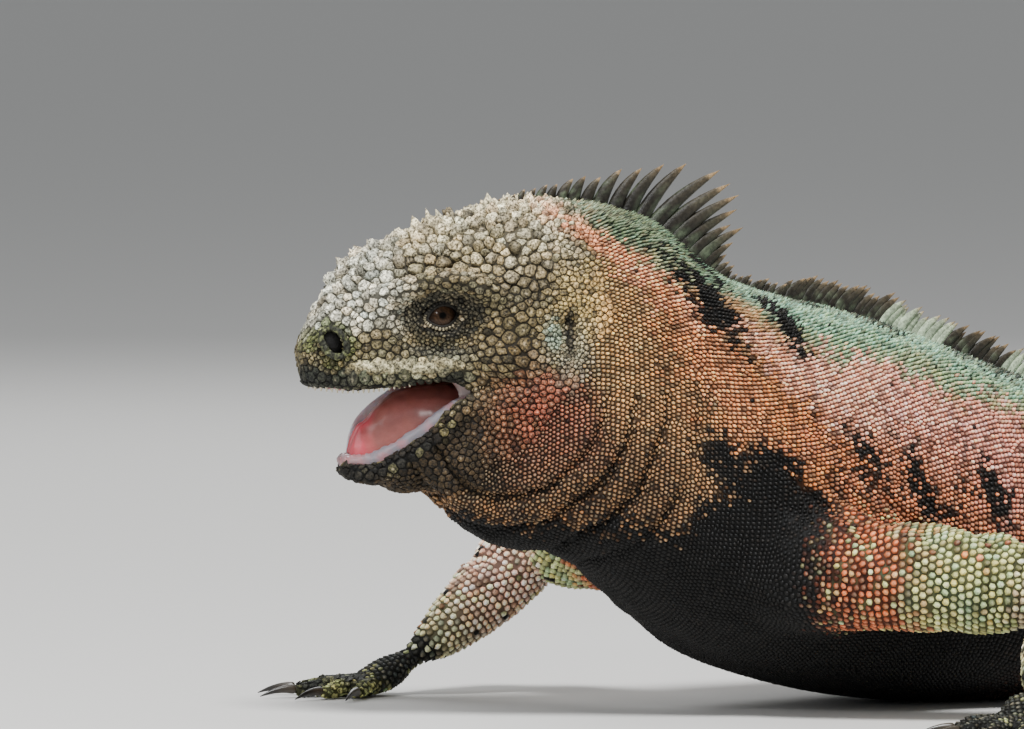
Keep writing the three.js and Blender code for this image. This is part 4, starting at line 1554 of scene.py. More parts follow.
@dataclass
class Lattice:
    """Rows of scales round a tube, each row set off by half a scale."""

    tube: Tube
    spacing: Callable[[Array], Array]
    start: float = 0.0
    end: float = 1.0
    rows_apart: float = 0.88

    def sow(self, skin: Skin, reach: float = 4.5) -> Sown:
        """Sets the rows down on the skin.

        Args:
            skin: what they stand on.
            reach: how far off the skin a root may start.

        Returns:
            The scales, all that reach the skin.
        """
        roots, lies, sizes, unwraps = [], [], [], []
        degrees = np.arange(90.0, 271.0, 3.0)
        for i, (share, size) in enumerate(zip(*self.rings())):
            for turned in (degrees, 180.0 - degrees):
                arc = run_along(self.tube.point(share, turned))
                offset = 0.5 * size if i % 2 else (0.0 if turned is degrees else size)
                at = np.arange(offset, arc[-1], size)
                around = np.interp(at, arc, turned)
                same = np.ones(len(at))
                roots.append(self.tube.point(share, around))
                lies.append(self.tube.axes(same * share)[0])
                sizes.append(same * size)
                span = (share - self.start) / (self.end - self.start)
                unwraps.append(np.stack([same * span, (around + 90.0) / 360.0], axis=1))
        lie, size = np.concatenate(lies), np.concatenate(sizes)
        rng = np.random.default_rng(len(lie))
        points = np.concatenate(roots) + rng.normal(0, 0.09, lie.shape) * size[:, None]
        place, out, moved = skin.onto(points)
        sown = Sown(place, out, lie, size, np.concatenate(unwraps))
        return sown.where((moved < reach) & (place[:, 2] > 0.4))

    def rings(self) -> tuple[Array, Array]:
        """Where the rows stand.

        Returns:
            Their places along the tube, and the size of the scales in each.
        """
        fine = np.linspace(self.start, self.end, 4000)
        ridge = self.tube.point(fine, 90.0)
        middle = self.tube.at(fine)[:, :3]
        run = np.linalg.norm(np.diff((ridge + middle) / 2, axis=0), axis=1)
        sizes = self.spacing(fine)
        step = np.concatenate([[0], np.cumsum(run / (sizes[1:] * self.rows_apart))])
        shares = np.interp(np.arange(0.5, step[-1]), step, fine)
        return shares, np.interp(shares, fine, sizes)


@dataclass
class Scatter:
    """Plates sown at random over the head and settled until they lie evenly."""

    skin: Skin
    spacing: Callable[[Array], Array]
    inside: Callable[[Array], Array]
    tries: int = 60000
    seed: int = 3

    def sow(self, fixed: Sown, taken: Spacing) -> Sown:
        """Sows and settles the plates.

        Args:
            fixed: rows that were given, which stay.
            taken: the roots that stand already.

        Returns:
            The scattered plates, without the fixed ones.
        """
        rng = np.random.default_rng(self.seed)
        tri = self.skin.places[self.skin.corners()]
        tri = tri[self.inside(tri.mean(axis=1)) > 0.5]
        area = np.linalg.norm(np.cross(tri[:, 1] - tri[:, 0], tri[:, 2] - tri[:, 0]), axis=1)
        pick = rng.choice(len(tri), size=self.tries, p=area / area.sum())
        one, two = np.sqrt(rng.random(self.tries)), rng.random(self.tries)
        spots = tri[pick, 0] * (1 - one)[:, None]
        spots = spots + tri[pick, 1] * (one * (1 - two))[:, None] + tri[pick, 2] * (one * two)[:, None]
        sizes = self.spacing(spots)
        order = np.argsort(-sizes, kind="stable")
        spots, sizes = spots[order], sizes[order]
        near = Spacing(cell=5.5, share=0.8)
        near.claims(fixed.root, fixed.size)
        keep = near.claims(spots, sizes)
        spots, sizes = spots[keep], sizes[keep]
        made = fixed.with_more(Sown(spots, spots, head_lie(spots), sizes, head_unwrap(spots)))
        made = made.settled(self.skin, len(fixed), 4).where(np.arange(len(made)) >= len(fixed))
        made.unwrap = head_unwrap(made.root)
        return made.thinned(taken)


def ring_faces(count: int, corners: int, levels: int) -> Array:
    """Triangles of many small forms, each of stacked rings with a tip.

    Args:
        count: how many forms.
        corners: vertices in a ring.
        levels: how many rings.

    Returns:
        Three vertices for each triangle.
    """
    ring = np.arange(corners)
    after = (ring + 1) % corners
    rows = []
    for level in range(levels - 1):
        low, high = level * corners, (level + 1) * corners
        rows.append(np.stack([low + ring, low + after, high + after], axis=1))
        rows.append(np.stack([low + ring, high + after, high + ring], axis=1))
    top = (levels - 1) * corners
    rows.append(np.stack([top + ring, top + after, np.full(corners, levels * corners)], axis=1))
    step = levels * corners + 1
    return (np.concatenate(rows)[None] + (np.arange(count) * step)[:, None, None]).reshape(-1, 3)


@dataclass
class Coat:
    """Turns roots into scales: each fills the room between its neighbours."""

    markings: Markings
    everything: Sown
    seed: int = 11

    def __post_init__(self) -> None:
        """Makes the finder for neighbours over every root."""
        self.finder = finder_over(self.everything.root)

    def neighbours(self, sown: Sown, count: int = 9) -> tuple[Array, Array]:
        """The nearest other roots of each scale.

        Args:
            sown: the scales.
            count: how many neighbours.

        Returns:
            Ways to the neighbours, and each scale's share of the room between.
        """
        ways = np.zeros((len(sown), count, 3))
        part = np.full((len(sown), count), 0.5)
        for i, root in enumerate(sown.root):
            found = self.finder.find_n(root, count + 1)[1:]
            for j, (place, index, _) in enumerate(found):
                ways[i, j] = place
                part[i, j] = self.everything.size[index]
            ways[i, len(found) :] = root + 50.0
        ways = ways - sown.root[:, None, :]
        return ways, sown.size[:, None] / (sown.size[:, None] + part)

    def build(self, name: str, sown: Sown, look: Look, gap: float, deep: float) -> Mesh:
        """Builds one mesh of scales.

        Args:
            name: the mesh's name.
            sown: the scales.
            look: how they are built.
            gap: the groove between scales, as a share of their size.
            deep: how dark the painted shade in the grooves is, from 0 to 1.

        Returns:
            The mesh, with its colours and its patches on the unwrap.
        """
        form = look.value
        side = unit(np.cross(sown.out, sown.lie))
        lie = unit(np.cross(side, sown.out))
        ways, part = self.neighbours(sown)
        flat = np.stack([(ways * lie[:, None]).sum(2), (ways * side[:, None]).sum(2)], axis=2)
        flat[..., 0] /= sown.long[:, None]
        length = (flat**2).sum(2)
        rng = np.random.default_rng(self.seed + len(sown))
        first = rng.uniform(0, 1, len(sown)) if look is Look.PLATE else np.zeros(len(sown))
        turns = (np.arange(form.corners)[None, :] + first[:, None]) * (2 * math.pi / form.corners)
        rays = np.stack([np.cos(turns), np.sin(turns)], axis=2)
        ahead = np.einsum("nkd,njd->nkj", flat, rays)
        limit = np.where(ahead > 1e-6, length[:, :, None] * part[:, :, None] / np.maximum(ahead, 1e-6), 1e9)
        radius = np.minimum(limit.min(axis=1), sown.size[:, None] * form.widest) * (1.0 - gap)
        if look is Look.PLATE:
            radius = radius * (1.0 - np.abs(rng.normal(0, 0.05, radius.shape)))
        places, painted_light = [], []
        tilt = rng.normal(0, form.tilt, (len(sown), 2))
        for share, level, peak, tone in zip(form.shares, form.flat, form.cone, form.tones):
            across = rays * (radius * share)[:, :, None]
            height = (level + (peak - level) * sown.cone)[:, None] * sown.rise[:, None]
            height = height + (across * tilt[:, None]).sum(2) * (level > 0)
            if look is Look.PLATE and level > 0:
                height = height + rng.normal(0, 0.2, height.shape) * sown.rise[:, None]
            across[..., 0] *= sown.long[:, None]
            across[..., 0] += (sown.point[:, None] * max(level, 0.0)) * (1.0 - share)
            spot = sown.root[:, None] + across[..., :1] * lie[:, None] + across[..., 1:] * side[:, None]
            places.append(spot + sown.out[:, None] * height[..., None])
            # Painted light: each ring's tone is painted shade at the rim and a painted highlight on top,
            # lighter in front and darker behind.
            painted_light.append((1 - deep + deep * tone if tone < 1 else tone) * (1.0 - form.painted_side_light * np.cos(turns)))
        top = (form.flat[-1] + (form.cone[-1] - form.flat[-1]) * sown.cone) * sown.rise
        tip = sown.root + sown.out * top[:, None] + sown.point[:, None] * lie
        places = np.concatenate([*places, tip[:, None]], axis=1)
        painted_light = np.concatenate([*painted_light, np.full((len(sown), 1), form.tones[-1])], axis=1)
        faces = ring_faces(len(sown), form.corners, len(form.shares))
        mesh = from_arrays(name, places.reshape(-1, 3), faces)
        tint = self.tinted(sown, look, rng)
        tone = tint[:, None, :] * painted_light[:, :, None]
        # Each tip also gets a pale painted highlight, but not on the black.
        tone[:, -1] += 0.2 * (colour("e2d2b2") - tone[:, -1]) * (tint.mean(axis=1) > 0.03)[:, None]
        paint(mesh, tone.reshape(-1, 3))
        self.patch(mesh, sown, places, lie, side)
        return mesh

    def tinted(self, sown: Sown, look: Look, rng: np.random.Generator) -> Array:
        """Each scale's own colour.

        Args:
            sown: the scales.
            look: how they are built.
            rng: for their differences.

        Returns:
            The marking found near the scale, a little lighter, darker or warmer.
        """
        form, count = look.value, len(sown)
        tone = self.markings.at(sown.root + rng.normal(0, form.stray, sown.root.shape) * sown.size[:, None])
        light = rng.normal(1.0, 1.0, count) * form.spread
        light = 1.0 + (light - form.spread) * (1.0 + 0.5 * sown.cone * (look is Look.BEAD))
        light = np.where(rng.random(count) < 0.08, light * 0.4, np.maximum(light, 0.35))
        warm = rng.normal(0.0, form.warm, count)
        return tone * light[:, None] * np.stack([1 + warm, np.ones(count), 1 - warm], axis=1)

    def patch(self, mesh: Mesh, sown: Sown, places: Array, lie: Array, side: Array) -> None:
        """Lays each scale as a small patch at its root's place on the body's unwrap.

        Args:
            mesh: the mesh of scales.
            sown: the scales.
            places: each scale's vertices.
            lie: the way each scale lies.
            side: the way across each.
        """
        reach = 0.0015
        off = (places - sown.root[:, None]) / sown.size[:, None, None] * reach
        spot = np.stack([(off * lie[:, None]).sum(2), (off * side[:, None]).sum(2)], axis=2)
        flat = (0.01 + 0.98 * np.clip(sown.unwrap, 0, 1))[:, None, :] + np.clip(spot, -reach, reach)
        loops = read(mesh.loops, "vertex_index", 1, np.int32)[:, 0]
        layer = mesh.uv_layers.new(name="OFBake")
        layer.data.foreach_set("uv", flat.reshape(-1, 2)[loops].astype(np.float32).ravel())


@dataclass
class Hide:
    """Sows the whole animal, region by region, and builds the coat."""

    skin: Skin
    markings: Markings = field(default_factory=Markings)

    def trunk_spacing(self, share: Array) -> Array:
        """Scale widths along the neck, body and tail."""
        x = TRUNK.at(share)[:, 0]
        return np.interp(x, [-200, -130, -60, 0, 140, 300, 600], [1.22, 1.25, 1.5, 2.0, 2.5, 2.7, 2.3])

    def limb_spacing(self, size: float, finer: float, share: Array) -> Array:
        """Scale widths along one length of a leg, which may be finer where it leaves the body."""
        return size - finer * ease(0.6, 0.25, share)

    def head_spacing(self, points: Array) -> Array:
        """Plate widths over the head.

        Args:
            points: places in millimetres.

        Returns:
            The width at each place.
        """
        forward, left, up = from_head(points).T
        size = np.full(len(points), 2.6)
        size += 1.9 * ease(22, 34, up) * ease(2, 14, forward)
        size += 2.6 * bump(forward, 16, 13) * bump(up, 13, 13)
        size += 1.2 * ease(44, 56, forward) * ease(8, 16, up)
        size -= 1.3 * ease(13, 8, np.hypot((forward - EYE[0]) / 1.3, up - EYE[2]))
        size -= 0.8 * ease(2, -6, up) * ease(40, 20, forward)
        size -= 0.9 * ease(10, -6, forward)
        size -= 1.5 * ease(10, 5, np.hypot(forward - EAR[0] - 1, (up - EAR[2]) / 1.3))
        nostril = np.hypot(forward - NOSTRIL[0], up - NOSTRIL[2])
        size = np.where(np.abs(left) > 5, size - 1.6 * ease(8, 4.5, nostril), size)
        size = np.where(up < -24, np.minimum(size, 2.0), size)
        ridge = np.interp(forward, [14, 29, 40, 50, 62], [24.4, 28.4, 28.0, 25.6, 21.5])
        on_brow = (np.abs(up - ridge) < 4.5) & (np.abs(left) > 9) & (forward > 14) & (forward < 63)
        size = np.where(on_brow, np.minimum(size, 2.8), size)
        return np.clip(size * (1 + 0.22 * mottle(points, 7, 52)), 1.15, 5.2)

    def on_face(self, points: Array) -> Array:
        """Tells which places are on the outside of the head and jaw.

        Args:
            points: places in millimetres.

        Returns:
            One there and nought elsewhere.
        """
        forward, left, up = from_head(points).T
        behind = np.interp(up, [-40, -33, -12, 14, 45, 60], [38, 33, 8, -9, -6, 0])
        behind = behind + 3.5 * mottle(points, 13, 51)
        part = (forward > behind) & (self.skin.in_mouth(points) < 0.2)
        inside = (np.abs(left) < np.interp(forward, [10, 40, 60], [14, 11, 5])) & (up > -22)
        return (part & ~(inside & (forward > 14) & (up < 0))).astype(float)

    def clear(self, points: Array) -> Array:
        """Tells which places are clear of the eyes, nostrils, ear drums and lip bands.

        Args:
            points: places in millimetres.

        Returns:
            True where they are.
        """
        forward, left, up = from_head(points).T
        keep = np.ones(len(points), dtype=bool)
        for (ahead, *_, rise), (long, high) in ((LIDS, (4.6, 3.1)), (NOSTRIL, (3.4, 4.2)), (EAR, (0.9, 2.6))):
            near = np.hypot((forward - ahead) / long, (up - rise) / high) < 1.0
            keep &= ~(near & (np.abs(left) > 6))
        band = np.interp(forward, [row[0] for row in LIP_BAND], [row[2] for row in LIP_BAND])
        on_band = (np.abs(up - band) < 1.5) & (forward > 31) & (forward < 62.5)
        return keep & ~(on_band & (np.abs(left) > 8))

    def rows_by_hand(self) -> Sown:
        """Lip plates, the beads of the lids and the ring round each nostril, set in rows.

        Returns:
            The plates and beads.
        """
        rows = []
        for side, _ in SIDES:
            for line, (out, lift), size, rise, long in (
                (UPPER_LIP, (1.0, 0.2), 3.7, 0.38, 1.0),
                (UPPER_LIP, (0.5, -2.2), 1.9, 0.35, 1.2),
                (LOWER_LIP, (0.8, 1.9), 1.9, 0.45, 1.2),
                (LOWER_LIP, (1.0, -1.0), 3.0, 0.42, 1.0),
            ):
                middle = from_head(head_tube(line, side).at(np.linspace(0.0, 1.0, 400))[:, :3])
                arc = run_along(middle)
                for run in np.arange(size * 0.5, arc[-1] - size * 0.3, size * long):
                    spot = np.array([np.interp(run, arc, middle[:, k]) for k in range(3)])
                    turned = unit(np.array([math.sqrt(max(0.0, 1 - (abs(spot[1]) / 12) ** 2)), side, 0.0]))
                    rows.append((*(spot + turned * 3.0 * out + UP * lift), size, rise, long))
            for reach, count, *form in ((1.9, 36, 1.0, 0.42), (2.85, 44, 1.1, 0.45), (3.9, 52, 1.25, 0.5)):
                rows += [(*spot, *form, 1.0) for spot in eye_ring(side, reach, count)]
            for k in range(13):
                turned = 2 * math.pi * k / 13
                ahead, up = NOSTRIL[0] + 5.1 * math.cos(turned), NOSTRIL[2] + 5.8 * math.sin(turned)
                rows.append((ahead, side * (15.5 - 0.3 * (ahead - 62)), up, 2.0, 0.7, 1.0))
        table = np.array(rows)
        place, out, _ = self.skin.onto(on_head(table[:, :3]))
        size, rise, long = table[:, 3:].T
        return Sown(place, out, head_lie(place), size, head_unwrap(place), rise=rise, long=long)

    def head_forms(self, sown: Sown) -> Sown:
        """Raises the plates of the head: cones on the crown, low domes on the cheeks.

        Args:
            sown: the plates.

        Returns:
            The same plates.
        """
        forward, _, up = from_head(sown.root).T
        rng = np.random.default_rng(5)
        crown = np.clip(ease(25, 38, up) + ease(50, 60, forward) * ease(14, 24, up) * 0.7, 0, 1)
        high = sown.size * (0.1 + 0.27 * crown * rng.uniform(0.2, 1.6, len(sown)))
        granules = ease(3, -5, up) * ease(30, 16, forward)
        sown.rise = np.maximum(high + sown.size * 0.2 * granules, 0.35)
        sown.cone = np.clip(crown * rng.uniform(-0.3, 1.25, len(sown)), 0, 1)
        sown.cone = np.maximum(sown.cone, granules * 0.5)
        sown.point = sown.size * 0.2 * sown.cone * ease(40, 10, forward)
        sown.long = 1 + 0.9 * bump(forward, 19, 15) * bump(up, 4.5, 8.5) + rng.uniform(0, 0.3, len(sown))
        return sown

    def back_forms(self, sown: Sown) -> Sown:
        """Shapes the scales of the trunk: pointed by the crest, beads on the sides, keels on the tail.

        Args:
            sown: the scales.

        Returns:
            The same scales.
        """
        x, down = self.markings.trunk_place(sown.root)
        back = ease(60, 18, down) * ease(-195, -175, x)
        neck = ease(-90, -150, x) * ease(110, 70, down)
        tail = ease(120, 220, x)
        vary = np.random.default_rng(6).uniform(0.8, 1.25, len(sown))
        sown.rise = sown.size * (0.4 + 0.3 * back + 0.16 * neck + 0.04 * tail) * vary
        sown.point = sown.size * (0.4 * back + 0.34 * neck + 0.3 * tail + 0.14)
        sown.cone = np.clip(0.25 + back + 0.6 * neck + 0.5 * tail, 0, 1)
        sown.long = np.full(len(sown), 1.15)
        return sown

    def dressed(self, finishes: dict[str, Material]) -> None:
        """Builds every piece of the coat.

        Args:
            finishes: materials by name.
        """
        taken = Spacing()
        by_hand = self.rows_by_hand().thinned(taken)
        face = Scatter(self.skin, self.head_spacing, self.on_face).sow(by_hand, taken)
        face = self.head_forms(face.where(self.clear(face.root)))
        trunk = Lattice(TRUNK, self.trunk_spacing, 0.03, 0.995, 0.98).sow(self.skin)
        trunk = trunk.where(self.on_face(trunk.root) < 0.5)
        trunk = trunk.where(self.skin.in_mouth(trunk.root) < 0.3)
        trunk = self.back_forms(trunk.where(self.clear(trunk.root)).thinned(taken))
        limbs = [self.limb(which, taken) for which in LEGS]
        homes = [by_hand, face, trunk, *limbs]
        home = np.repeat(np.arange(len(homes)), [len(sown) for sown in homes])
        everything = reduce(Sown.with_more, homes)
        more, like = self.filled(everything, taken)
        log.info("%d scales fill bare skin", len(more))
        home = np.concatenate([home, np.maximum(home[like], 1)])
        everything = everything.with_more(more).settled(self.skin, len(by_hand) + len(face), 3)
        by_hand, face, trunk, *limbs = (everything.where(home == i) for i in range(len(homes)))
        coat = Coat(self.markings, everything)
        log.info("%d scales", len(everything))
        above = from_head(face.root)[:, 2] > 13
        # The last number is how dark the painted shade in the grooves is.
        for name, part, deep in (
            ("crown_plates", face.where(above), 0.6),
            ("cheek_and_jaw_plates", face.where(~above), 0.9),
            ("lip_plates_and_lid_beads", by_hand, 0.45),
        ):
            piece(name, coat.build(name, part, Look.PLATE, 0.02, deep), finishes["plate"])
        x = trunk.root[:, 0]
        cuts = [-300, -176, -156, -138, -118, -98, -74, -44, -6, 42, 110, 640]
        for i, (low, high) in enumerate(zip(cuts, cuts[1:])):
            part = trunk.where((x >= low) & (x < high))
            name = f"body_scales_{i + 1}"
            # The groove, and how dark its painted shade is.
            piece(name, coat.build(name, part, Look.BEAD, 0.05, 0.95), finishes["scale"])
        for which, sown in zip(LEGS, limbs):
            name = which.names[0] + "_scales"
            piece(name, coat.build(name, sown, Look.BEAD, 0.03, 0.85), finishes["scale"])

    def filled(self, sown: Sown, taken: Spacing) -> tuple[Sown, Array]:
        """Sows more scales wherever the rows have left the skin bare.

        Args:
            sown: the scales that stand.
            taken: their roots.

        Returns:
            The added scales, and for each the number of the standing one that it is like.
        """
        rng = np.random.default_rng(23)
        spots = self.skin.places[rng.permutation(self.skin.corners())].mean(axis=1)
        bare = (self.skin.in_mouth(spots) < 0.3) & (spots[:, 2] > 0.5)
        spots = spots[bare & self.clear(spots)]
        finder = finder_over(sown.root)
        found = [finder.find(spot) for spot in spots]
        like = np.array([index for _, index, _ in found])
        away = np.array([distance for _, _, distance in found])
        room = away > np.minimum(sown.size[like] * 0.68, 2.3)
        added = sown.where(like[room])
        added.root, added.out, _ = self.skin.onto(spots[room])
        small = np.minimum(1.0, away[room] * 1.3 / added.size)
        added.size, added.rise, added.point = (small * v for v in (added.size, added.rise, added.point))
        keep = taken.claims(added.root, added.size)
        return added.where(keep), like[room][keep]

    def limb(self, which: Leg, taken: Spacing) -> Sown:
        """Sows one leg, down to its digits.

        Args:
            which: the leg.
            taken: the roots that stand already.

        Returns:
            Its scales.
        """
        tubes = [(which.upper, 2.45), (which.lower, 2.3), (which.palm()[0], 1.9)]
        tubes += [(tube, 1.7) for tube, _, _ in which.digits()]
        parts = []
        for i, (tube, size) in enumerate(tubes):
            first, finer = (0.3, 0.8) if i == 0 else (0.02, 0.0)
            lattice = Lattice(tube, partial(self.limb_spacing, size, finer), first, 0.98)
            part = lattice.sow(self.skin, 3.0)
            part.unwrap[:, 0] = (i + part.unwrap[:, 0]) / len(tubes)
            part = part.thinned(taken)
            part.rise, part.point = part.size * 0.28, part.size * 0.34
            part.cone = np.full(len(part), 0.5)
            parts.append(part)
        return reduce(Sown.with_more, parts)


# The crest


@dataclass(frozen=True)
class Crest:
    """The row of spines from the crown to the end of the tail, with heights and gaps by X."""

    start: float = -188.0
    end: float = 603.0
    lean: float = 0.42
    sides: int = 8
    rows: int = 7
    heights: tuple[Row, ...] = (
        (-188, 1.6), (-180, 3.2), (-172, 5.4), (-165, 8), (-157, 12), (-150, 17.5), (-144, 18.5),
        (-138, 15.5), (-131, 10.5), (-127, 5), (-121, 4), (-104, 4.4), (-99, 8), (-60, 8.5),
        (60, 8.5), (130, 7.5), (240, 7), (400, 6), (550, 3.6), (604, 1.8),
    )
    gaps: tuple[Row, ...] = (
        (-188, 1.8), (-176, 3.0), (-168, 3.9), (-150, 4.4), (-138, 3.5),
        (-127, 2.0), (-100, 2.3), (-60, 2.5), (140, 3.2), (600, 3.6),
    )

    def top(self, x: float) -> Array:
        """The highest of head and trunk at an X along the middle of the back.

        Args:
            x: where, in the row frame.

        Returns:
            The place.
        """
        trunk = TRUNK.point(TRUNK.share_at(np.array([x])), 90.0, -COAT)[0]
        along = (HEAD_PLACE[0] - x) / COS_TURN
        if along < -20:
            return trunk
        shares = np.linspace(0, 1, 200)
        share = np.interp(along, from_head(CRANIUM.at(shares)[:, :3])[:, 0], shares)
        crown = CRANIUM.point(np.array([share]), 90.0, -COAT)[0]
        return crown if crown[2] > trunk[2] or along > 4 else trunk

    def built(self, finish: Material) -> None:
        """Builds the spines, all in one piece.

        Args:
            finish: their horn.
        """
        rng = np.random.default_rng(17)
        places, faces, tones = [], [], []
        x, step = self.start, 1.5
        while x < self.end:
            root, ahead = self.top(x), self.top(x + step)
            tall = float(np.interp(x, *np.array(self.heights).T)) * rng.uniform(0.86, 1.12)
            spot, face, tone = self.spine(root, unit(ahead - root), tall, rng)
            faces.append(face + len(spot) * len(places))
            places.append(spot)
            tones.append(tone)
            gap = np.interp(x, *np.array(self.gaps).T) * rng.uniform(0.88, 1.12)
            x += gap / max(np.linalg.norm(ahead - root) / step, 1.0)
        mesh = from_arrays("crest", np.concatenate(places), np.concatenate(faces))
        paint(mesh, np.concatenate(tones))
        piece("crest", outward(mesh), finish)
        log.info("%d spines", len(places))

    def spine(self, root: Array, back: Array, tall: float, rng: np.random.Generator) -> tuple[Array, ...]:
        """One curved spine.

        Args:
            root: where it stands.
            back: the way along the ridge to the tail.
            tall: its height.
            rng: for its small differences.

        Returns:
            Its vertices, its triangles and its colours.
        """
        side = unit(np.cross(back, UP))
        square = unit(np.cross(side, back))
        grow = unit(square * 0.85 + UP * 0.15)
        level = unit(back * np.array([1, 1, 0]))
        side = unit(side + back * rng.normal(0, 0.04))
        dorsal = float(ease(-118, -100, root[0]))
        long = np.interp(tall, [2, 5, 9, 18], [1.0, 1.7, 2.1, 2.5]) + 0.1 * dorsal
        thick = np.interp(tall, [2, 5, 9, 18], [0.6, 0.85, 1.0, 1.25]) + 0.2 * dorsal
        share = np.linspace(0, 1, self.rows + 1)[:-1]
        taper = (1 - 0.97 * share**2.2) ** 0.8 * (1 + 0.2 * np.exp(-share * 12))
        turns = np.arange(self.sides) * 2 * math.pi / self.sides
        lean = np.interp(root[0], [-178, -150, -138, -126], [0.55, self.lean, 0.7, 0.95])
        bend = tall * lean * rng.uniform(0.85, 1.15)
        sway = rng.normal(0, 0.05) * tall
        reach = share * (tall + 1.2) - 1.2
        middle = root + grow * reach[:, None] + level * (bend * (0.12 * share + 0.88 * share**2.3))[:, None]
        middle = middle + side * (sway * share**2)[:, None]
        flat = unit(np.cross(side, np.gradient(middle, axis=0)))
        ring = np.cos(turns)[None, :, None] * flat[:, None] * (long * taper)[:, None, None]
        ring = ring + np.sin(turns)[None, :, None] * side * (thick * taper)[:, None, None]
        tip = root + grow * tall + level * bend + side * sway
        spots = np.concatenate([(middle[:, None] + ring).reshape(-1, 3), tip[None]])
        # Along the back the spines stand in pale and dark groups, with horn-coloured tips.
        phase = (root[0] + 66) / 46 + 0.3 * ease(0, 60, root[0]) * mottle(root[None], 60, 91)[0]
        pale = root[0] > -66 and phase % 1 < 0.52
        foot, shaft = ("86aa8d", "a4b498") if pale else ("1a1814", "27241e")
        share = np.append(np.repeat(share, self.sides), 1.0)
        green = ease(0.2, 0.9, mottle(spots, 3.0, 92)) * ease(0.9, 0.3, share)
        tone = laid(
            foot,
            (shaft, ease(0.1, 0.4, share)),
            ("6b634f", ease(0.4, 0.9, share) * 0.25),
            ("c9a679", ease(0.84, 0.97, share) * 0.95),
            ("6d7c62", green * 0.5),
        )
        return spots, ring_faces(1, self.sides, self.rows), tone * rng.uniform(0.8, 1.2)


# Eyes, mouth and claws


@dataclass(frozen=True)
class Eyes:
    """The eyeballs, with a brown iris and a small pupil, the bare rims of the lids, and the nostrils."""

    iris: float = 4.3
    pupil: float = 1.0
    beads: int = 34
    bead_steps: int = 6

    def built(self, finishes: dict[str, Material]) -> None:
        """Builds both eyes and both nostrils.

        Args:
            finishes: materials by name.
        """
        for side, word in SIDES:
            mesh = ball((EYE[0], side * EYE[1], EYE[2]), (EYE_RADIUS,) * 3, 96)
            middle = np.array([LIDS[0] + 0.2, side * EYE[1], LIDS[1] + 0.1])
            ahead, left, rise = (from_head(read_points(mesh)) - middle).T
            away, turned, facing = np.hypot(ahead, rise), np.arctan2(rise, ahead), left * side > 0
            streak = 0.5 + 0.3 * np.sin(turned * 23) + 0.2 * np.sin(turned * 41 + 1)
            painted(
                mesh,
                "100d0b",
                ("20160f", ease(self.iris, self.iris - 0.9, away) * facing),
                ("4a3626", bump(away, 1.9, 1.5) * streak * facing),
                ("030302", ease(self.pupil + 0.2, self.pupil - 0.15, away) * facing),
            )
            piece(f"eye_{word}_ball", mesh, finishes["eye"], [f"eye_{word}"])
            self.lids(side, word, finishes["plate"])
            self.nostril(side, word, finishes["plate"])

    def lids(self, side: int, word: str, finish: Material) -> None:
        """The bare edge of the lids, and a tight row of small beads along it, pale on the lower lid, with
        painted shade between the beads.

        Args:
            side: 1 for the left and -1 for the right.
            word: the side's name.
            finish: bare dark skin.
        """
        edge = loop_tube(on_head(eye_ring(side, 0.1, 56)), 0.42, 10)
        piece(f"lid_rim_{word}", painted(edge, "1b1915"), finish)
        sides = 12
        ring = eye_ring(side, 0.8, self.beads * self.bead_steps)
        swell = np.abs(np.sin(np.arange(len(ring)) * math.pi / self.bead_steps))
        lift = np.array([0.0, side * 0.35, 0.0])
        mesh = loop_tube(on_head(ring + lift), 0.22 + 0.33 * swell**0.7, sides)
        below = np.repeat(ring[:, 2] - EYE[2] - GAZE[1], sides)
        tone = laid("2e2c26", ("958b72", ease(0.8, -1.2, below)))
        # The beads are darkened between each other as painted shade.
        paint(mesh, tone * (0.08 + 0.92 * np.repeat(swell, sides) ** 1.3)[:, None])
        piece(f"lid_beads_{word}", mesh, finish)

    def nostril(self, side: int, word: str, finish: Material) -> None:
        """The raised rim of a nostril, and a dark ball inside it as painted shade.

        Args:
            side: 1 for the left and -1 for the right.
            word: the side's name.
            finish: bare dark skin.
        """
        turns = np.linspace(0, 2 * math.pi, 73)[:-1]
        rise = 4.0 * np.sin(turns)
        ahead = 3.2 * np.cos(turns) + 0.28 * rise
        width = 15.1 - 0.42 * ahead - 0.02 * ahead**2 - 0.03 * rise**2
        ring = np.stack([NOSTRIL[0] + ahead, side * width, NOSTRIL[2] + 0.8 + rise], axis=1)
        rim = loop_tube(on_head(ring), 0.95, 14)
        points = read_points(rim)
        swollen(rim, points, 0.28 * mottle(points, 1.8, 82) + 0.12 * mottle(points, 0.9, 83))
        painted(rim, "2c2d24", ("646846", ease(0.0, 0.6, mottle(points, 2.2, 81)) * 0.8))
        piece(f"nostril_rim_{word}", rim, finish)
        # A near-black ball stands in for the shade inside the nostril: painted shade.
        nostril_shade_ball = ball((NOSTRIL[0] + 0.2, side * 12.6, NOSTRIL[2] + 0.8), (3.2, 1.4, 3.9), 24)
        piece(f"nostril_painted_shade_{word}", painted(nostril_shade_ball, "070605"), finish)


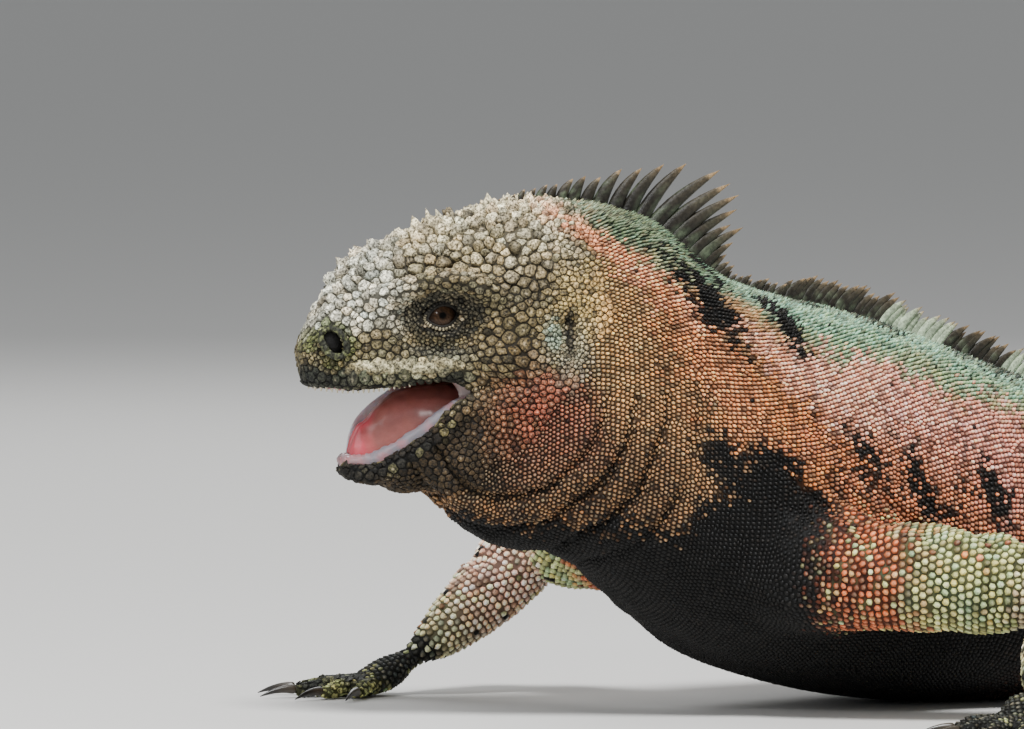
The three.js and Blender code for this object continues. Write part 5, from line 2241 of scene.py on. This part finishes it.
def loop_tube(ring: Array, radius: float | Array, sides: int) -> Mesh:
    """A closed round tube along a closed ring of places.

    Args:
        ring: the places, in order.
        radius: the tube's radius, one or for each place.
        sides: faces round it.

    Returns:
        The new mesh.
    """
    middle = ring.mean(axis=0)
    along = unit(np.roll(ring, -1, axis=0) - np.roll(ring, 1, axis=0))
    out = unit((ring - middle) - along * ((ring - middle) * along).sum(1, keepdims=True))
    other = np.cross(along, out)
    turns = np.arange(sides) * 2 * math.pi / sides
    spots = ring[:, None] + np.broadcast_to(radius, len(ring))[:, None, None] * (
        np.cos(turns)[None, :, None] * out[:, None] + np.sin(turns)[None, :, None] * other[:, None]
    )
    i, j = np.meshgrid(np.arange(len(ring)), np.arange(sides), indexing="ij")
    after, turned = (i + 1) % len(ring) * sides, (j + 1) % sides
    a, b, c, d = i * sides + j, after + j, after + turned, i * sides + turned
    faces = np.concatenate([np.stack([a, b, c], -1).reshape(-1, 3), np.stack([a, c, d], -1).reshape(-1, 3)])
    return outward(from_arrays("loop", spots.reshape(-1, 3), faces))


@dataclass(frozen=True)
class Mouth:
    """Tongue, gums, teeth and the thin folds at the sides of the mouth."""

    teeth: int = 19
    first_tooth: float = 44.0
    last_tooth: float = 69.5

    def built(self, finishes: dict[str, Material]) -> None:
        """Builds the pieces of the mouth.

        Args:
            finishes: materials by name.
        """
        self.tongue(finishes["tongue"])
        self.gums(finishes["mouth"])
        self.far_skin(finishes["mouth"])
        self.folds(finishes["mouth"])
        self.lip_bands(finishes["plate"])
        self.tooth_rows(finishes["tooth"])

    def tongue(self, finish: Material) -> None:
        """The thick tongue, domed, with a cleft tip and a shallow groove.

        Args:
            finish: its wet flesh.
        """
        mesh = TONGUE.mesh(64, 80)
        local = from_head(read_points(mesh))
        # These three are columns of local, and change with it.
        forward, left, up = local.T
        cleft = np.exp(-((left / 1.3) ** 2)) * ease(52, 60, forward)
        lobe = bump(np.abs(left), 3.2, 2.6) * bump(forward, 57.5, 4.5)
        local[:, 2] += 1.5 * lobe * ease(-24, -18, up)
        local[:, 0] -= 3.4 * cleft
        local[:, 2] -= 1.8 * cleft + 0.6 * np.exp(-((left / 2.2) ** 2)) * bump(forward, 46, 16)
        local[:, 2] += 2.6 * bump(forward, 46, 15) * ease(-16, -8, up) + 0.18 * mottle(local, 4, 61)
        write_points(mesh, on_head(local))
        # The band of the pale painted highlight streak along the tongue's upper side.
        ridge = bump(np.abs(left) + 0.5 * mottle(local, 8, 63), 3.6, 1.2) * bump(forward, 40, 14)
        painted(
            mesh,
            "955751",
            ("c84a58", ease(51.5, 55.5, forward + 0.8 * mottle(local, 6, 64)) * 0.9),
            # A pale streak, as a painted highlight along the tongue's upper side.
            ("d39a92", ridge * ease(-14, -8, up) * 0.6),
            ("93454a", ease(1.5, 0.0, np.abs(left)) * ease(46, 56, forward) * 0.8),
            ("9a5a50", ease(0.2, 0.8, mottle(local, 9, 62)) * 0.5),
        )
        piece("tongue_flesh", mesh, finish, ["tongue"])

    def gums(self, finish: Material) -> None:
        """The pale bands of gum inside the lower and the upper lip.

        Args:
            finish: the wet lining of the mouth.
        """
        for name, line, shade in (("gum_lower", LOWER_GUM, "78737a"), ("gum_upper", UPPER_GUM, "6f4641")):
            mesh = joined([head_tube(line, side, caps=(0.05, 0.02)).mesh(18, 60) for side, _ in SIDES])
            points = read_points(mesh)
            points = swollen(mesh, points, 0.35 * mottle(points, 3.4, 73))
            pink = ease(0.0, 0.9, mottle(points, 6, 71)) * 0.5
            front = ease(53, 58, from_head(points)[:, 0]) * 0.4
            piece(name, painted(mesh, shade, ("a8656a", pink), ("b57c7a", front)), finish)

    def far_skin(self, finish: Material) -> None:
        """The far lip's thin inner skin, pale in front and darker red behind, partly painted shade deep in
        the mouth.

        Args:
            finish: the wet lining of the mouth.
        """
        mesh = head_tube(LIP_SKIN, -1, caps=(0.1, 0.1)).mesh(12, 40)
        points = read_points(mesh)
        pink = ease(-0.3, 0.7, mottle(points, 5, 72)) * 0.5
        # Darker red towards the back, partly the flesh's colour and partly painted shade deep in the mouth.
        deep = ease(47, 39, from_head(points)[:, 0]) * 0.95
        piece("lip_skin_right", painted(mesh, "dadfea", ("c08a90", pink), ("7c4440", deep)), finish)

    def folds(self, finish: Material) -> None:
        """The thin fold of skin in the corner of the mouth, on each side.

        Args:
            finish: the wet lining of the mouth.
        """
        for side, word in SIDES:
            work = bmesh.new()
            bmesh.ops.create_grid(work, x_segments=8, y_segments=8, size=0.5)
            for vert in work.verts:
                share, rise = vert.co.x + 0.5, vert.co.y + 0.5
                ahead = 22 + share * (12.5 - 18.0 * rise * (1 - rise))
                low, top = -3.0 - 5.4 * share, 1.2 + 2.4 * share
                width = 18.4 - 3.2 * share - 1.2 * rise * (1 - rise)
                vert.co = on_head([(ahead, side * width, low + (top - low) * rise)])[0] * MM
            bmesh.ops.solidify(work, geom=work.faces, thickness=0.6 * MM)
            bmesh.ops.recalc_face_normals(work, faces=work.faces)
            piece(f"mouth_fold_{word}", painted(from_work(work), "a08682"), finish)

    def lip_bands(self, finish: Material) -> None:
        """The pale crusted ridge over the plates of the upper lip, on each side.

        Args:
            finish: chalky plates.
        """
        for side, word in SIDES:
            mesh = head_tube(LIP_BAND, side, caps=(0.12, 0.12)).mesh(28, 150, 0.6)
            points = read_points(mesh)
            forward = from_head(points)[:, 0] + 1.2 * mottle(points, 7, 85)
            seam = np.exp(-((np.sin(math.pi * forward / 5.4) / 0.16) ** 2))
            lump = 0.28 * mottle(points, 3.4, 84) + 0.16 * mottle(points, 1.5, 86) - 0.3 * seam
            swollen(mesh, points, lump)
            tone = laid(Markings().head(points), ("6f6344", ease(0.0, 0.8, mottle(points, 5.5, 88)) * 0.7))
            # The seams between the band's plates are darkened as painted shade; the rest varies at random.
            paint(mesh, tone * (0.86 - 0.55 * seam + 0.38 * mottle(points, 2.2, 87))[:, None])
            piece(f"lip_band_{word}", mesh, finish)

    def tooth_rows(self, finish: Material) -> None:
        """The small teeth along the upper jaw.

        Args:
            finish: their enamel.
        """
        parts = []
        for side, _ in SIDES:
            for i in range(self.teeth):
                ahead = self.first_tooth + (self.last_tooth - self.first_tooth) * i / (self.teeth - 1)
                width = np.interp(ahead, [36, 48, 57, 63, 68, 70], [16.2, 13.8, 11.9, 10.2, 7.6, 5.2])
                low = np.interp(ahead, [38, 48, 55, 62, 70], [2.0, 0.5, -0.6, -0.8, 0.0])
                over = Matrix.Rotation(math.pi, 3, "X")
                work = bmesh.new()
                bmesh.ops.create_cone(work, cap_ends=True, segments=8, radius1=0.65, radius2=0.2, depth=2.4)
                bmesh.ops.scale(work, vec=(1.0, 0.7, 1.0), verts=work.verts)
                bmesh.ops.rotate(work, cent=(0, 0, 0), matrix=over, verts=work.verts)
                mesh = from_work(work)
                place = np.array([ahead, side * width, low])
                write_points(mesh, on_head(read(mesh.vertices, "co", 3) + place))
                parts.append(mesh)
        piece("teeth", painted(outward(joined(parts)), "c9bfa2"), finish)


@dataclass(frozen=True)
class Claws:
    """The twenty claws, each in place of its solid."""

    length: float = 8.5
    radius: float = 1.7
    drop: float = 1.7

    def built(self, finish: Material) -> None:
        """Builds every claw.

        Args:
            finish: their horn.
        """
        for which in LEGS:
            for i, (_, tip, out) in enumerate(which.digits()):
                self.claw(f"claw_{which.names[2]}_{i + 1}", tip, out, which.foot.digit, finish)

    def claw(self, name: str, tip: Array, out: Array, digit: float, finish: Material) -> None:
        """One curved claw.

        Args:
            name: the solid that it stands for.
            tip: the end of its digit.
            out: the way the digit points.
            digit: the digit's radius.
            finish: the horn.
        """
        start, whole = tip - out * digit * 0.7, self.length + digit
        rows = []
        for share in (0.0, 0.3, 0.6, 0.85, 1.0):
            spot = start + out * whole * share
            radius = self.radius * max((1 - share) ** 0.75, 0.06)
            height = tip[2] + 0.95 + 0.55 * math.sin(math.pi * share) - self.drop * share**1.5
            height = max(height, radius * 0.9 + 0.1)
            rows.append((spot[0], spot[1], height, radius * 0.72, radius, radius * 0.8))
        mesh = Tube(tuple(rows), caps=(0.1, 0.02)).mesh(16, 18)
        reach = (read_points(mesh) - start) @ out / whole
        painted(mesh, "3d352b", ("17130f", ease(0.2, 0.7, reach)))
        piece(name + "_horn", mesh, finish, [name])


# Floor, light and camera


@dataclass(frozen=True)
class Studio:
    """A pale floor, soft light from above and a long lens at the photo's angle."""

    picture: tuple[float, float] = (1024.0, 729.0)
    sensor: float = 36.0
    lens: float = 400.0
    pixels_per_mm: float = 3.55
    heading: float = 38.0
    tilt: float = 2.5
    anchor: tuple[float, float, float] = (-118.0, -45.0, 41.0)
    anchor_pixel: tuple[float, float] = (835.0, 575.0)
    floor_code: str = "d9d8d5"
    sky_code: str = "eef1f4"

    def camera(self) -> None:
        """Sets the camera where the photo was taken from."""
        turned, fall = math.radians(self.heading), math.radians(self.tilt)
        flat = np.array([math.sin(turned), math.cos(turned), 0.0])
        look = flat * math.cos(fall) - UP * math.sin(fall)
        right = np.array([math.cos(turned), -math.sin(turned), 0.0])
        lift = np.cross(right, look)
        distance = self.lens / self.sensor * self.picture[0] / self.pixels_per_mm
        east = (self.anchor_pixel[0] - self.picture[0] / 2) / self.pixels_per_mm
        south = (self.anchor_pixel[1] - self.picture[1] / 2) / self.pixels_per_mm
        place = np.array(self.anchor) - look * distance - right * east + lift * south
        data = bpy.data.cameras.new("long_lens")
        data.lens, data.sensor_width, data.clip_end = self.lens, self.sensor, 200.0
        made = linked("long_lens", data)
        columns = np.stack([right, lift, -look], axis=1)
        made.matrix_world = Matrix.Translation(Vector(place * MM)) @ Matrix(columns.tolist()).to_4x4()
        bpy.context.scene.camera = made

    def lights(self) -> None:
        """Sets a large soft light overhead and weaker ones beside it."""
        for name, place, size, power in (
            ("sky_panel", (-0.75, -0.85, 1.9), 0.65, 68.0),
            ("side_panel", (-1.9, 0.4, 0.9), 1.2, 10.0),
            ("back_panel", (0.9, 1.3, 1.3), 1.2, 14.0),
            ("eye_light", (-1.2, -1.35, 1.05), 0.25, 5.0),
        ):
            data = bpy.data.lights.new(name, "AREA")
            data.shape, data.size, data.energy = "DISK", size, power
            made = linked(name, data)
            made.location = place
            way = Vector((-0.1, 0.0, 0.08)) - made.location
            made.rotation_euler = way.to_track_quat("-Z", "Y").to_euler()
        world = bpy.data.worlds.new("soft_daylight")
        world.use_nodes = True
        sky = world.node_tree.nodes["Background"].inputs
        sky["Color"].default_value = (*colour(self.sky_code), 1.0)
        sky["Strength"].default_value = 0.4
        bpy.context.scene.world = world

    def floor(self) -> None:
        """Lays the pale floor at the level of the flats."""
        work = bmesh.new()
        bmesh.ops.create_grid(work, x_segments=2, y_segments=2, size=45.0)
        mesh = from_work(work, "floor")
        finish = bpy.data.materials.new("pale_matt_floor")
        finish.use_nodes = True
        shader = finish.node_tree.nodes["Principled BSDF"]
        shader.inputs["Base Color"].default_value = (*colour(self.floor_code), 1.0)
        shader.inputs["Roughness"].default_value = 0.9
        mesh.materials.append(finish)
        made = linked("floor", mesh)


def main() -> None:
    """Builds the animal and its studio, in order, and reports each piece."""
    logging.basicConfig(level=logging.INFO, format="%(message)s")
    finishes = {name: finish.material() for name, finish in FINISHES.items()}
    flesh = [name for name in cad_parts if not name.startswith(("eye", "claw", "tongue"))]
    skin = Skin()
    log.info("skin is shaped")
    Hide(skin).dressed(finishes)
    skin.placed(flesh, finishes["skin"])
    Crest().built(finishes["spine"])
    Eyes().built(finishes)
    Mouth().built(finishes)
    Claws().built(finishes["claw"])
    studio = Studio()
    studio.floor()
    studio.lights()
    studio.camera()


if __name__ == "__main__":
    main()
